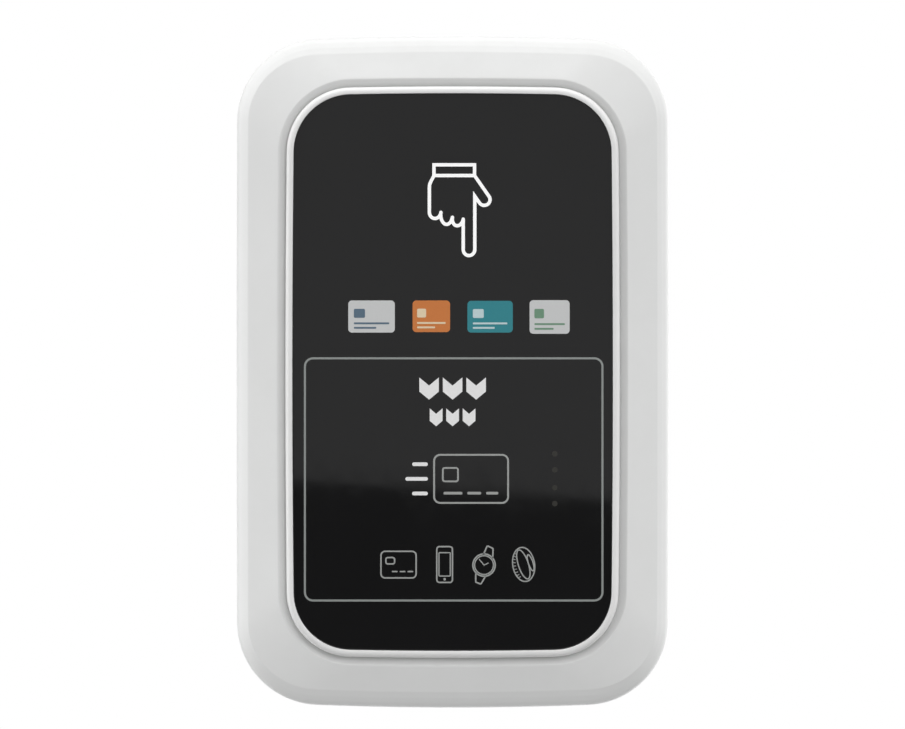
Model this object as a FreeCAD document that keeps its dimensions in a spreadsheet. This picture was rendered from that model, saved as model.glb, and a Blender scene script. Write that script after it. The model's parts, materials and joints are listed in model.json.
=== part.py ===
import FreeCAD, Part
import math
import os
import re

import Sketcher

# Ticket validator on its wall plate.
# Frame: +Z up, +X to the right seen from the front, the front looks along -Y.
# The wall is the plane y = 0 and the origin is the centre of the wall bolt pattern.
# A level is a distance from the wall, so a face at level 12 lies at y = -12.

DIMS = {
    # Casing outline at the parting line: eight tangent arcs, all four sides slightly bowed.
    "case_half_width": 64.5, "case_half_height": 100.2,
    "case_corner": 24.8, "case_side": 20000.0, "case_end": 1030.0,
    # Outline of the front glass, built the same way.
    "panel_half_width": 47.67, "panel_half_height": 82.91,
    "panel_corner": 17.2, "panel_side": 5700.0, "panel_end": 1510.0,
    # Levels of the casing.
    "back_level": 12.0, "parting_level": 32.0, "crest_level": 52.5,
    "groove_level": 51.0, "front_level": 54.0,
    # Rounded edges: where the side ends, its inset there from draft, and the round's size.
    "back_side_level": 19.0, "back_draft": 0.6, "back_round": 5.4,
    "face_side_level": 45.0, "face_draft": 0.4, "face_round": 4.6, "face_low_level": 49.4,
    # Offsets outward from the glass outline.
    "lip_inner": 0.14, "lip_outer": 2.2, "cover_opening": 2.3, "crest_offset": 4.45,
    "bezel_flange_offset": 4.6, "bezel_ledge_inset": 5.0,
    # Bezel ring, glass and tape.
    "bezel_back_level": 45.1, "bezel_flange_level": 46.9, "bezel_ledge_level": 49.4,
    "tape_level": 50.9, "glass_level": 51.4, "glass_front_level": 53.4,
    "tape_width": 4.0,
    # Walls and hollows.
    "wall": 4.0, "front_ceiling_level": 44.0, "front_inner_inset": 6.5,
    "front_inner_level": 47.0, "rear_step_level": 20.0, "rear_inner_inset": 7.5,
    "rear_floor_level": 15.0,
    # Perimeter seal in the rim.
    "seal_inset": 1.3, "seal_inner": 2.8, "seal_depth": 1.4,
    # Casing screws: four at the corners, two at the middle of the sides.
    "corner_screw_x": 50.5, "corner_screw_z": 85.0, "side_screw_x": 56.0,
    "boss_radius": 3.5, "column_radius": 4.1, "boss_foot_level": 34.0, "boss_head_level": 33.9,
    "screw_radius": 1.25, "screw_clear_radius": 1.6, "screw_head_radius": 2.75,
    "head_seat_level": 18.0, "head_height": 2.4, "counterbore_radius": 3.1,
    "insert_radius": 1.9, "insert_level": 34.5, "screw_tip_level": 41.0,
    "drive_radius": 1.3, "drive_depth": 1.4,
    # Inner chassis and its screws.
    "chassis_level": 42.8, "chassis_front_level": 45.0, "chassis_offset": 4.4,
    "chassis_window_inset": 12.0, "chassis_window_low": -14.0, "chassis_window_high": 68.0,
    "ear_x": 25.0, "ear_z": 90.7, "ear_radius": 2.3, "ear_foot_z": 86.0,
    "ear_screw_level": 48.6, "ear_screw_radius": 1.1, "ear_head_radius": 2.2,
    "ear_head_height": 1.6,
    # Reader antenna behind the tap zone.
    "antenna_x": -7.0, "antenna_z": -32.0, "antenna_width": 66.0, "antenna_height": 62.0,
    "antenna_level": 49.5, "antenna_front_level": 51.1, "coil_height": 0.2,
    "coil_margin": 2.5, "coil_track": 1.2, "coil_pitch": 2.2, "coil_turns": 4,
    "ferrite_level": 49.1, "ferrite_width": 60.0, "ferrite_height": 56.0,
    # Status light board, its four diodes and their light guide.
    "led_x": 34.6, "led_z": -31.7, "led_width": 11.6, "led_height": 40.0,
    "led_level": 46.0, "led_front_level": 47.2, "diode_size": 2.0, "diode_height": 0.8,
    "dot_x": 30.4, "dot_radius": 0.85, "guide_base_level": 48.2, "guide_front_level": 51.3,
    "guide_width": 5.0, "guide_base_front_level": 49.6,
    "dot_z_1": -24.3, "dot_z_2": -29.1, "dot_z_3": -34.4, "dot_z_4": -39.1,
    # Main board.
    "board_half_width": 46.0, "board_low": -66.0, "board_high": 78.0,
    "board_level": 37.0, "board_front_level": 38.6,
    "standoff_x": 42.0, "standoff_high": 73.0, "standoff_low": -61.0,
    "standoff_radius": 2.8, "board_screw_radius": 1.25, "board_head_radius": 2.6,
    "board_head_height": 1.8, "board_screw_level": 42.0,
    # Packages, sockets and capacitors on the main board.
    "chip_height": 1.2, "secure_socket_count": 3, "secure_socket_x": -18.0,
    "secure_socket_z": -50.0, "secure_socket_pitch": 17.0, "secure_socket_width": 15.0,
    "secure_socket_height": 13.0, "secure_socket_depth": 1.6, "capacitor_count": 3,
    "capacitor_x": 24.0, "capacitor_z": -33.0, "capacitor_pitch": 7.0,
    "capacitor_radius": 2.5, "capacitor_depth": 5.4,
    # Backup cell and its holder.
    "cell_x": 26.0, "cell_z": 2.0, "cell_radius": 10.0, "cell_height": 3.2,
    "holder_radius": 11.6, "holder_floor": 0.8,
    # Terminal block.
    "terminal_count": 6, "terminal_pitch": 5.0, "terminal_x": -25.0, "terminal_z": -22.0,
    "terminal_depth": 9.0, "terminal_height": 10.0, "wire_hole": 1.4,
    "terminal_screw_radius": 1.5, "terminal_screw_height": 0.8,
    # Flat tails between the boards.
    "antenna_flex_z": -0.6, "led_flex_z": -12.1, "flex_thickness": 0.2,
    # Loudspeaker on the back wall.
    "speaker_x": -24.0, "speaker_z": 46.0, "speaker_radius": 18.0, "speaker_height": 7.0,
    "gasket_width": 2.5, "gasket_height": 0.8, "speaker_ear": 21.5,
    "magnet_radius": 9.0, "magnet_height": 3.0, "sound_hole_radius": 1.0,
    "sound_hole_ring": 5.0, "sound_hole_count": 6, "speaker_screw_radius": 1.0,
    # Pressure vent.
    "vent_x": 30.0, "vent_z": 50.0, "vent_radius": 4.0, "vent_head_radius": 6.5,
    "vent_head_height": 1.6, "vent_bore": 2.6, "membrane_height": 0.3,
    # Connection bay in the back.
    "bay_half_width": 44.0, "bay_low": -91.0, "bay_high": -38.0, "bay_floor_level": 32.0,
    "bay_wall": 2.5,
    # Cable gland in the top wall of the bay.
    "gland_x": -26.0, "gland_level": 23.3, "thread_radius": 6.0, "gland_hex": 16.0,
    "gland_hex_height": 4.0, "dome_height": 11.0, "dome_mouth": 5.4,
    "cable_radius": 3.0, "gland_seal_radius": 4.6, "gland_seal_height": 7.0,
    "thread_top": -29.0, "locknut_height": 3.0,
    # Cam lock in the bottom wall.
    "lock_x": 0.0, "lock_level": 21.0, "lock_radius": 5.5, "lock_head_radius": 7.4,
    "lock_head_low": -99.2, "lock_head_height": 1.5, "lock_top": -80.0,
    "plug_radius": 4.0, "plug_clearance": 0.05, "lock_nut_height": 3.0, "lock_nut_hex": 15.0,
    "key_slot_length": 5.0, "key_slot_width": 1.2, "key_slot_depth": 3.0,
    "cam_low": -79.0, "cam_height": 2.0, "cam_width": 8.0, "cam_reach": 16.5,
    "cam_square": 5.0, "cam_screw_radius": 1.5, "cam_screw_head": 3.0,
    "cam_screw_head_height": 1.8,
    # Tamper switch through the back wall.
    "tamper_x": -2.0, "tamper_z": -20.0, "tamper_width": 9.0, "tamper_height": 12.0,
    "tamper_top_level": 28.0, "plunger_radius": 2.0, "plunger_tip_level": 2.15,
    "plunger_collar_level": 17.5, "plunger_collar_height": 1.2, "plunger_collar": 2.9,
    "plunger_top_level": 20.5, "spring_radius": 2.6, "spring_wire": 0.35,
    "spring_pitch": 1.25, "spring_turns": 4, "spring_top_level": 24.6, "chamber_radius": 3.2,
    # Hinge rod in ears on the rear cover, resting in hooks of the wall plate.
    "pivot_z": 82.0, "pivot_level": 7.0, "rod_radius": 2.0, "rod_half_length": 31.0,
    "seat_radius": 2.08, "ear_inner_x": 25.0, "ear_outer_x": 30.5, "hinge_ear_radius": 3.2,
    # Wall plate.
    "plate_thickness": 2.0, "plate_half_width": 50.0, "plate_low": -86.0,
    "plate_high": 90.0, "plate_corner": 8.0, "flange_low": -72.0, "flange_high": 72.0,
    "flange_level": 10.2, "bolt_spacing_x": 80.0, "bolt_spacing_z": 100.0,
    "bolt_hole_radius": 2.75, "hook_x": 20.0, "hook_low": 66.0, "hook_top": 85.4,
    "hook_level": 10.6, "tongue_x": 12.0, "tongue_low": -84.0,
    "tongue_high": -66.0, "tongue_level": 28.0, "strike_low": -81.5, "strike_high": -74.0,
    "strike_near_level": 8.5, "strike_far_level": 26.0, "cable_window_left": -42.0,
    "cable_window_right": -10.0, "cable_window_low": -78.0, "cable_window_high": -56.0,
    # Rubber buffers between the plate and the rear cover.
    "buffer_x": 42.0, "buffer_z": -26.0, "buffer_radius": 6.0, "buffer_level": 11.7,
    # Rating label, left blank.
    "label_x": 0.0, "label_z": 10.0, "label_width": 50.0, "label_height": 24.0,
    "label_thickness": 0.2,
}

# Parts soldered flat on the main board: centre x, centre z, width, height, depth.
BACK_SIDE_PARTS = {
    "processor_shield": (-14.0, 20.0, 38.0, 32.0, 3.6),
    "radio_module": (20.0, 62.0, 24.0, 20.0, 2.8),
    "sim_socket": (-30.0, 68.0, 15.0, 13.0, 1.6),
    "network_socket": (12.0, -24.0, 16.0, 13.6, 11.5),
    "power_inductor": (30.0, -24.0, 12.0, 12.0, 5.0),
}
# Circuit packages on the back of the main board: centre x, centre z, size.
CHIPS = ((-36, -2, 8), (-20, -8, 6), (10, 30, 9), (28, 34, 7), (4, -4, 5), (-38, 30, 6))
FRONT_SIDE_PARTS = {
    "antenna_connector": (-7.0, -4.0, 9.0, 4.0, 1.6),
    "led_connector": (33.0, 2.0, 7.0, 4.0, 1.6),
}
ROUND_STEPS = 5
for step in range(ROUND_STEPS + 1):
    turned = math.radians(90 * step / ROUND_STEPS)
    for edge, end in (("back", "back_level"), ("face", "face_low_level")):
        depth = DIMS[end] - DIMS[edge + "_side_level"]
        DIMS["%s_level_%d" % (edge, step)] = DIMS[edge + "_side_level"] + depth * math.sin(turned)
        DIMS["%s_inset_%d" % (edge, step)] = (DIMS[edge + "_draft"]
                                              + DIMS[edge + "_round"] * (1 - math.cos(turned)))
for label, measures in {**BACK_SIDE_PARTS, **FRONT_SIDE_PARTS}.items():
    for suffix, measure in zip(("x", "z", "width", "height", "depth"), measures):
        DIMS[label + "_" + suffix] = measure

doc = FreeCAD.newDocument("ticket_validator")
sheet = doc.addObject("Spreadsheet::Sheet", "Dims")
for row, (alias, number) in enumerate(DIMS.items(), start=1):
    sheet.set("A%d" % row, alias)
    sheet.set("B%d" % row, "%.9g" % number)
    sheet.setAlias("B%d" % row, alias)
doc.recompute()

NODES = []
TURNS = {
    "out": FreeCAD.Rotation(FreeCAD.Vector(1, 0, 0), 90),
    "right": FreeCAD.Rotation(FreeCAD.Vector(0, 1, 0), 90),
    "up": FreeCAD.Rotation(),
}


def link(text):
    """An expression in which every name of a dimension points at the sheet."""
    def point(match):
        return "Dims." + match.group(0) if match.group(0) in DIMS else match.group(0)
    return re.sub(r"[a-z][a-z0-9_]*", point, str(text))


def bind(obj, **properties):
    for name, text in properties.items():
        obj.setExpression(name, link(text))


def place(obj, x, level, z):
    """Bind an object's place: x, distance from the wall, height."""
    obj.setExpression("Placement.Base.x", link(x))
    obj.setExpression("Placement.Base.y", link("-(%s)" % level))
    obj.setExpression("Placement.Base.z", link(z))


def keep(obj, label):
    """Name the object that is a finished sub-part."""
    obj.Label = label
    NODES.append(obj)
    return obj


# ---- Part primitives and booleans ----

def block(name, across, levels, heights):
    """Box between two values of x, two levels and two heights."""
    obj = doc.addObject("Part::Box", name)
    place(obj, across[0], levels[1], heights[0])
    bind(obj, Length="(%s) - (%s)" % (across[1], across[0]),
         Width="(%s) - (%s)" % (levels[1], levels[0]),
         Height="(%s) - (%s)" % (heights[1], heights[0]))
    return obj


def centred_block(name, x, z, width, height, levels):
    """Box centred on a place in the front view, between two levels."""
    return block(name, ("%s - %s / 2" % (x, width), "%s + %s / 2" % (x, width)), levels,
                 ("%s - %s / 2" % (z, height), "%s + %s / 2" % (z, height)))


def rod(name, direction, start, radius, length):
    """Cylinder from a start (x, level, z) along out, right or up."""
    obj = doc.addObject("Part::Cylinder", name)
    obj.Placement = FreeCAD.Placement(FreeCAD.Vector(), TURNS[direction])
    place(obj, *start)
    bind(obj, Radius=radius, Height=length)
    return obj


def taper(name, direction, start, radius, far_radius, length):
    obj = doc.addObject("Part::Cone", name)
    obj.Placement = FreeCAD.Placement(FreeCAD.Vector(), TURNS[direction])
    place(obj, *start)
    bind(obj, Radius1=radius, Radius2=far_radius, Height=length)
    return obj


def hexagon(name, direction, start, across_flats, length):
    obj = doc.addObject("Part::Prism", name)
    obj.Polygon = 6
    obj.Placement = FreeCAD.Placement(FreeCAD.Vector(), TURNS[direction])
    place(obj, *start)
    bind(obj, Circumradius="(%s) / 2 / cos(30)" % across_flats, Height=length)
    return obj


def fuse(name, *pieces):
    obj = doc.addObject("Part::MultiFuse", name)
    obj.Shapes = list(pieces)
    return obj


def cut(name, base, *tools):
    obj = doc.addObject("Part::Cut", name)
    obj.Base = base
    obj.Tool = tools[0] if len(tools) == 1 else fuse(name + "_tools", *tools)
    return obj


def group(label, pieces):
    """Separate solids that share one node."""
    obj = doc.addObject("Part::Compound", label + "_group")
    obj.Links = list(pieces)
    return keep(obj, label)


# ---- PartDesign bodies with eight-arc outlines ----

def corner_centre(kind):
    """Centre of the corner arc that touches both the side arc and the end arc."""
    side_x = DIMS[kind + "_half_width"] - DIMS[kind + "_side"]
    end_z = DIMS[kind + "_half_height"] - DIMS[kind + "_end"]
    from_side = DIMS[kind + "_side"] - DIMS[kind + "_corner"]
    from_end = DIMS[kind + "_end"] - DIMS[kind + "_corner"]
    apart = math.hypot(side_x, end_z)
    along = (from_side ** 2 - from_end ** 2 + apart ** 2) / (2 * apart)
    aside = math.sqrt(from_side ** 2 - along ** 2)
    unit_x, unit_z = -side_x / apart, end_z / apart
    return (side_x + along * unit_x - aside * unit_z, along * unit_z + aside * unit_x)


def new_sketch(body, name, level):
    """Sketch parallel to the wall at a level."""
    sketch = body.newObject("Sketcher::SketchObject", name)
    front_plane = [o for o in body.Origin.OriginFeatures if o.Role == "XZ_Plane"][0]
    sketch.AttachmentSupport = [(front_plane, "")]
    sketch.MapMode = "FlatFace"
    sketch.setExpression("AttachmentOffset.Base.z", link(level))
    return sketch


def outline(body, name, level, kind, grow="", shrink=""):
    """Outline of the casing or the glass, at a level, grown or shrunk by a named amount."""
    sketch = new_sketch(body, name, level)
    change = DIMS.get(grow, 0.0) - DIMS.get(shrink, 0.0)
    text = " + " + grow if grow else " - " + shrink if shrink else ""
    side, end, corner = (DIMS[kind + part] + change for part in ("_side", "_end", "_corner"))
    side_x = DIMS[kind + "_half_width"] - DIMS[kind + "_side"]
    end_z = DIMS[kind + "_half_height"] - DIMS[kind + "_end"]
    cx, cz = corner_centre(kind)
    low = math.atan2(cz, cx - side_x)
    high = math.atan2(cz - end_z, cx)
    half = math.pi
    arcs = [
        (side_x, 0, side, -low, low), (cx, cz, corner, low, high),
        (0, end_z, end, high, half - high), (-cx, cz, corner, half - high, half - low),
        (-side_x, 0, side, half - low, half + low),
        (-cx, -cz, corner, half + low, half + high),
        (0, -end_z, end, half + high, 2 * half - high),
        (cx, -cz, corner, 2 * half - high, 2 * half - low),
    ]
    for x, z, radius, first, last in arcs:
        circle = Part.Circle(FreeCAD.Vector(x, z, 0), FreeCAD.Vector(0, 0, 1), radius)
        sketch.addGeometry(Part.ArcOfCircle(circle, first, last), False)
    for index in range(8):
        sketch.addConstraint(Sketcher.Constraint("Tangent", index, 2, (index + 1) % 8, 1))
    for index, axis in ((0, -1), (4, -1), (2, -2), (6, -2)):
        sketch.addConstraint(Sketcher.Constraint("PointOnObject", index, 3, axis))
    for first, others in ((0, (4,)), (2, (6,)), (1, (3, 5, 7))):
        for other in others:
            sketch.addConstraint(Sketcher.Constraint("Equal", first, other))
    sizes = [
        ("Radius", (0,), "side_radius", side, "%s_side%s" % (kind, text)),
        ("Radius", (2,), "end_radius", end, "%s_end%s" % (kind, text)),
        ("Radius", (1,), "corner_radius", corner, "%s_corner%s" % (kind, text)),
        ("DistanceX", (0, 3, -1, 1), "right", -side_x, "{0}_side - {0}_half_width".format(kind)),
        ("DistanceX", (-1, 1, 4, 3), "left", -side_x, "{0}_side - {0}_half_width".format(kind)),
        ("DistanceY", (2, 3, -1, 1), "top", -end_z, "{0}_end - {0}_half_height".format(kind)),
        ("DistanceY", (-1, 1, 6, 3), "bottom", -end_z, "{0}_end - {0}_half_height".format(kind)),
    ]
    for constraint, points, title, number, formula in sizes:
        index = sketch.addConstraint(Sketcher.Constraint(constraint, *points, number))
        sketch.renameConstraint(index, title)
        sketch.setExpression("Constraints." + title, link(formula))
    return sketch


def loft(body, name, sketches):
    feature = body.newObject("PartDesign::AdditiveLoft", name)
    feature.Profile = sketches[0]
    feature.Sections = sketches[1:]
    feature.Ruled = True
    return feature


def rounded_edge(body, edge):
    """Outlines that step round the casing's front or back edge, from its side inwards."""
    return [outline(body, "%s_outline_%d" % (edge, step), "%s_level_%d" % (edge, step), "case",
                    shrink="%s_inset_%d" % (edge, step)) for step in range(ROUND_STEPS + 1)]


def pad(body, name, sketch, length):
    feature = body.newObject("PartDesign::Pad", name)
    feature.Profile = sketch
    bind(feature, Length=length)
    return feature


def pocket(body, name, sketch, length, outward=False):
    """Cut towards the wall, or away from it, and make sure that the cut met the solid."""
    doc.recompute()
    before = body.Shape.Volume
    feature = body.newObject("PartDesign::Pocket", name)
    feature.Profile = sketch
    feature.Reversed = outward
    bind(feature, Length=length)
    doc.recompute()
    if not body.Shape.Volume < before:
        raise RuntimeError(name + " cuts nothing")
    return feature


def ring_body(label, kind, levels, outer, inner):
    """Flat ring between two levels; outer and inner are outline changes as keywords."""
    body = doc.addObject("PartDesign::Body", label + "_body")
    height = "%s - (%s)" % (levels[1], levels[0])
    pad(body, label + "_pad", outline(body, label + "_outer", levels[0], kind, **outer), height)
    pocket(body, label + "_pocket", outline(body, label + "_inner", levels[1], kind, **inner),
           height)
    return body


SCREW_PLACES = [(sx + "corner_screw_x", sz + "corner_screw_z") for sx in ("", "-")
                for sz in ("", "-")] + [("side_screw_x", "0"), ("-side_screw_x", "0")]
EAR_PLACES = [(sx + "ear_x", sz) for sx in ("", "-") for sz in ("", "-")]
BOARD_PLACES = [(sx + "standoff_x", z) for sx in ("", "-") for z in ("standoff_high",
                                                                     "standoff_low")]


def rods_out(name, places, levels, radius):
    """The same cylinder at several places, between two levels."""
    return [rod("%s_%d" % (name, index), "out", (x, levels[0], z), radius,
                "%s - (%s)" % (levels[1], levels[0]))
            for index, (x, z) in enumerate(places)]


# ---- Casing ----

def front_cover():
    body = doc.addObject("PartDesign::Body", "front_shell")
    loft(body, "front_skin", [
        outline(body, "front_parting", "parting_level", "case"),
        *rounded_edge(body, "face"),
        outline(body, "front_crest", "crest_level", "panel", grow="crest_offset"),
    ])
    pocket(body, "front_hollow",
           outline(body, "front_hollow_outline", "front_ceiling_level", "case", shrink="wall"),
           "front_ceiling_level - parting_level")
    pocket(body, "front_upper_hollow",
           outline(body, "front_upper_outline", "front_inner_level", "case",
                   shrink="front_inner_inset"),
           "front_inner_level - front_ceiling_level")
    pocket(body, "front_opening",
           outline(body, "front_opening_outline", "front_level", "panel", grow="cover_opening"),
           "front_level - front_ceiling_level")
    pocket(body, "front_groove",
           outline(body, "front_groove_outline", "front_level", "panel", grow="crest_offset"),
           "front_level - groove_level")
    bosses = rods_out("front_boss", SCREW_PLACES, ("boss_foot_level", "front_inner_level + 0.5"),
                      "boss_radius")
    ear_bosses = rods_out("ear_boss", [(x, sz + "ear_z") for x, sz in EAR_PLACES],
                          ("chassis_front_level", "front_inner_level + 0.5"), "ear_radius")
    solid = fuse("front_solid", body, *bosses, *ear_bosses)
    holes = rods_out("insert_hole", SCREW_PLACES, ("boss_foot_level - 1", "screw_tip_level + 0.5"),
                     "insert_radius")
    holes += rods_out("ear_hole", [(x, sz + "ear_z") for x, sz in EAR_PLACES],
                      ("chassis_front_level - 1", "ear_screw_level"), "ear_screw_radius")
    keep(cut("front_cover_cut", solid, *holes), "front_cover")


def rear_cover():
    body = doc.addObject("PartDesign::Body", "rear_shell")
    loft(body, "rear_skin", [*rounded_edge(body, "back")[::-1],
                             outline(body, "rear_parting", "parting_level", "case")])
    pocket(body, "rear_hollow",
           outline(body, "rear_hollow_outline", "parting_level", "case", shrink="wall"),
           "parting_level - rear_step_level")
    pocket(body, "rear_lower_hollow",
           outline(body, "rear_lower_outline", "rear_step_level", "case",
                   shrink="rear_inner_inset"),
           "rear_step_level - rear_floor_level")
    columns = rods_out("column", SCREW_PLACES, ("back_level + 1", "boss_head_level"),
                       "column_radius")
    bay = block("bay_block", ("-bay_half_width - bay_wall", "bay_half_width + bay_wall"),
                ("rear_floor_level - 1", "bay_floor_level + bay_wall"),
                ("bay_low - bay_wall", "bay_high + bay_wall"))
    ears = []
    for side, low in (("right", "ear_inner_x"), ("left", "-ear_outer_x")):
        eye = rod("hinge_eye_" + side, "right", (low, "pivot_level", "pivot_z"),
                  "hinge_ear_radius", "ear_outer_x - ear_inner_x")
        web = block("hinge_web_" + side, (low, low + " + ear_outer_x - ear_inner_x"),
                    ("pivot_level", "back_level + 0.5"),
                    ("pivot_z - hinge_ear_radius", "pivot_z + hinge_ear_radius"))
        ears += [eye, web]
    solid = fuse("rear_solid", body, bay, *columns, *ears)
    seal_groove = ring_body("seal_groove", "case", ("parting_level - seal_depth",
                                                    "parting_level + 0.5"),
                            {"shrink": "seal_inset"}, {"shrink": "seal_inner"})
    tools = [
        block("bay_hollow", ("-bay_half_width", "bay_half_width"),
              ("back_level - 1", "bay_floor_level"), ("bay_low", "bay_high")),
        rod("gland_hole", "up", ("gland_x", "gland_level", "bay_high - 1"),
            "thread_radius + 0.1", "bay_wall + 2"),
        rod("lock_hole", "up", ("lock_x", "lock_level", "-case_half_height - 1"), "lock_radius",
            "bay_low + case_half_height + 2"),
        rod("lock_recess", "up", ("lock_x", "lock_level", "-case_half_height - 1"),
            "lock_head_radius + 0.3", "lock_head_low + lock_head_height + case_half_height + 1"),
        rod("hinge_bore", "right", ("-ear_outer_x - 1", "pivot_level", "pivot_z"), "rod_radius",
            "2 * ear_outer_x + 2"),
        rod("vent_hole", "out", ("vent_x", "back_level - 1", "vent_z"), "vent_radius", "6"),
        rod("plunger_hole", "out", ("tamper_x", "back_level - 1", "tamper_z"),
            "plunger_radius + 0.1", "6"),
        seal_groove,
    ]
    tools += rods_out("screw_way", SCREW_PLACES, ("back_level", "boss_head_level + 1"),
                      "screw_clear_radius")
    tools += rods_out("counterbore", SCREW_PLACES, ("back_level - 1", "head_seat_level"),
                      "counterbore_radius")
    tools.append(rod("sound_hole_centre", "out", ("speaker_x", "back_level - 1", "speaker_z"),
                     "sound_hole_radius", "6"))
    for index in range(DIMS["sound_hole_count"]):
        angle = 360 * index / DIMS["sound_hole_count"]
        tools.append(rod("sound_hole_%d" % index, "out",
                         ("speaker_x + sound_hole_ring * cos(%g)" % angle, "back_level - 1",
                          "speaker_z + sound_hole_ring * sin(%g)" % angle),
                         "sound_hole_radius", "6"))
    tools += [rod("speaker_pilot_" + side, "out",
                  ("speaker_x %s speaker_ear" % sign, "back_level + 1", "speaker_z"),
                  "speaker_screw_radius", "4")
              for side, sign in (("right", "+"), ("left", "-"))]
    keep(cut("rear_cover_cut", solid, *tools), "rear_cover")


def bezel_ring():
    wall = ring_body("bezel_wall", "panel", ("bezel_back_level", "front_level"),
                     {"grow": "lip_outer"}, {"grow": "lip_inner"})
    ledge = ring_body("bezel_ledge", "panel", ("bezel_ledge_level", "tape_level"),
                      {"grow": "lip_outer"}, {"shrink": "bezel_ledge_inset"})
    flange = ring_body("bezel_flange", "panel", ("bezel_back_level", "bezel_flange_level"),
                       {"grow": "bezel_flange_offset"}, {"grow": "lip_inner"})
    keep(fuse("bezel_fuse", wall, ledge, flange), "bezel_ring")


def front_glass():
    body = doc.addObject("PartDesign::Body", "glass_body")
    pad(body, "glass_pad", outline(body, "glass_outline", "glass_level", "panel"),
        "glass_front_level - glass_level")
    keep(body, "front_glass")


def glass_tape():
    keep(ring_body("tape", "panel", ("tape_level", "glass_level"), {}, {"shrink": "tape_width"}),
         "glass_tape")


def perimeter_seal():
    keep(ring_body("seal", "case", ("parting_level - seal_depth", "parting_level"),
                   {"shrink": "seal_inset"}, {"shrink": "seal_inner"}), "perimeter_seal")


def screw_out(name, place_xz, seat, tip, shank, head, head_height):
    """Socket screw along a level direction: its head is on the wall side of its seat."""
    x, z = place_xz
    body = fuse(name + "_blank",
                rod(name + "_head", "out", (x, "%s - %s" % (seat, head_height), z), head,
                    head_height),
                rod(name + "_shank", "out", (x, seat, z), shank, "%s - %s" % (tip, seat)))
    drive = hexagon(name + "_drive", "out", (x, "%s - %s - 1" % (seat, head_height), z),
                    "2 * drive_radius", "drive_depth + 1")
    return cut(name, body, drive)


def casing_fasteners():
    group("cover_screws", [
        screw_out("cover_screw_%d" % index, spot, "head_seat_level", "screw_tip_level",
                  "screw_radius", "screw_head_radius", "head_height")
        for index, spot in enumerate(SCREW_PLACES)])
    group("threaded_inserts", [
        cut("insert_%d" % index,
            rod("insert_body_%d" % index, "out", (x, "insert_level", z), "insert_radius",
                "screw_tip_level - insert_level"),
            rod("insert_bore_%d" % index, "out", (x, "insert_level - 1", z), "screw_radius",
                "screw_tip_level - insert_level + 2"))
        for index, (x, z) in enumerate(SCREW_PLACES)])


# ---- Inside the front cover ----

def inner_chassis():
    body = doc.addObject("PartDesign::Body", "chassis_plate")
    pad(body, "chassis_pad",
        outline(body, "chassis_outline", "chassis_level", "panel", grow="chassis_offset"),
        "chassis_front_level - chassis_level")
    ears = []
    for index, (x, sz) in enumerate(EAR_PLACES):
        heights = ("ear_foot_z", "ear_z") if sz == "" else ("-ear_z", "-ear_foot_z")
        ears.append(block("ear_web_%d" % index, (x + " - ear_radius", x + " + ear_radius"),
                          ("chassis_level", "chassis_front_level"), heights))
    ears += rods_out("ear", [(x, sz + "ear_z") for x, sz in EAR_PLACES],
                     ("chassis_level", "chassis_front_level"), "ear_radius")
    holes = rods_out("ear_clearance", [(x, sz + "ear_z") for x, sz in EAR_PLACES],
                     ("chassis_level - 1", "chassis_front_level + 1"), "ear_screw_radius + 0.2")
    holes += rods_out("chassis_board_hole", BOARD_PLACES,
                      ("chassis_level - 1", "chassis_front_level + 1"), "board_screw_radius")
    window = block("chassis_window",
                   ("-panel_half_width + chassis_window_inset",
                    "panel_half_width - chassis_window_inset"),
                   ("chassis_level - 1", "chassis_front_level + 1"),
                   ("chassis_window_low", "chassis_window_high"))
    keep(cut("chassis_cut", fuse("chassis_solid", body, *ears), window, *holes), "inner_chassis")
    group("chassis_screws", [
        screw_out("chassis_screw_%d" % index, (x, sz + "ear_z"), "chassis_level",
                  "ear_screw_level - 0.3", "ear_screw_radius", "ear_head_radius",
                  "ear_head_height")
        for index, (x, sz) in enumerate(EAR_PLACES)])


def reader_antenna():
    centre = ("antenna_x", "antenna_z")
    keep(centred_block("antenna_plate", *centre, "antenna_width", "antenna_height",
                       ("antenna_level", "antenna_front_level")), "antenna_board")
    turns = []
    for turn in range(DIMS["coil_turns"]):
        margin = "2 * (coil_margin + %d * coil_pitch)" % turn
        levels = ("antenna_front_level", "antenna_front_level + coil_height")
        turns.append(cut(
            "coil_turn_%d" % turn,
            centred_block("coil_outer_%d" % turn, *centre, "(antenna_width - %s)" % margin,
                          "(antenna_height - %s)" % margin, levels),
            centred_block("coil_inner_%d" % turn, *centre,
                          "(antenna_width - %s - 2 * coil_track)" % margin,
                          "(antenna_height - %s - 2 * coil_track)" % margin,
                          ("antenna_front_level - 1", "antenna_front_level + 1"))))
    group("antenna_coil", turns)
    keep(centred_block("ferrite", *centre, "ferrite_width", "ferrite_height",
                       ("ferrite_level", "antenna_level")), "ferrite_sheet")


DOT_HEIGHTS = ["dot_z_%d" % index for index in range(1, 5)]


def status_lights():
    keep(centred_block("led_plate", "led_x", "led_z", "led_width", "led_height",
                       ("led_level", "led_front_level")), "led_board")
    group("status_leds", [
        centred_block("diode_%d" % index, "dot_x", z, "diode_size", "diode_size",
                      ("led_front_level", "led_front_level + diode_height"))
        for index, z in enumerate(DOT_HEIGHTS)])
    base = block("guide_bar", ("led_x - led_width / 2", "led_x - led_width / 2 + guide_width"),
                 ("guide_base_level", "guide_base_front_level"), ("dot_z_4 - 3", "dot_z_1 + 3"))
    pipes = rods_out("light_pipe", [("dot_x", z) for z in DOT_HEIGHTS],
                     ("guide_base_level", "guide_front_level"), "dot_radius")
    keep(fuse("guide_fuse", base, *pipes), "light_guide")


# ---- Main board ----

def soldered_part(label, levels):
    names = [label + "_" + part for part in ("x", "z", "width", "height")]
    return centred_block(label + "_block", *names, levels)


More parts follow.
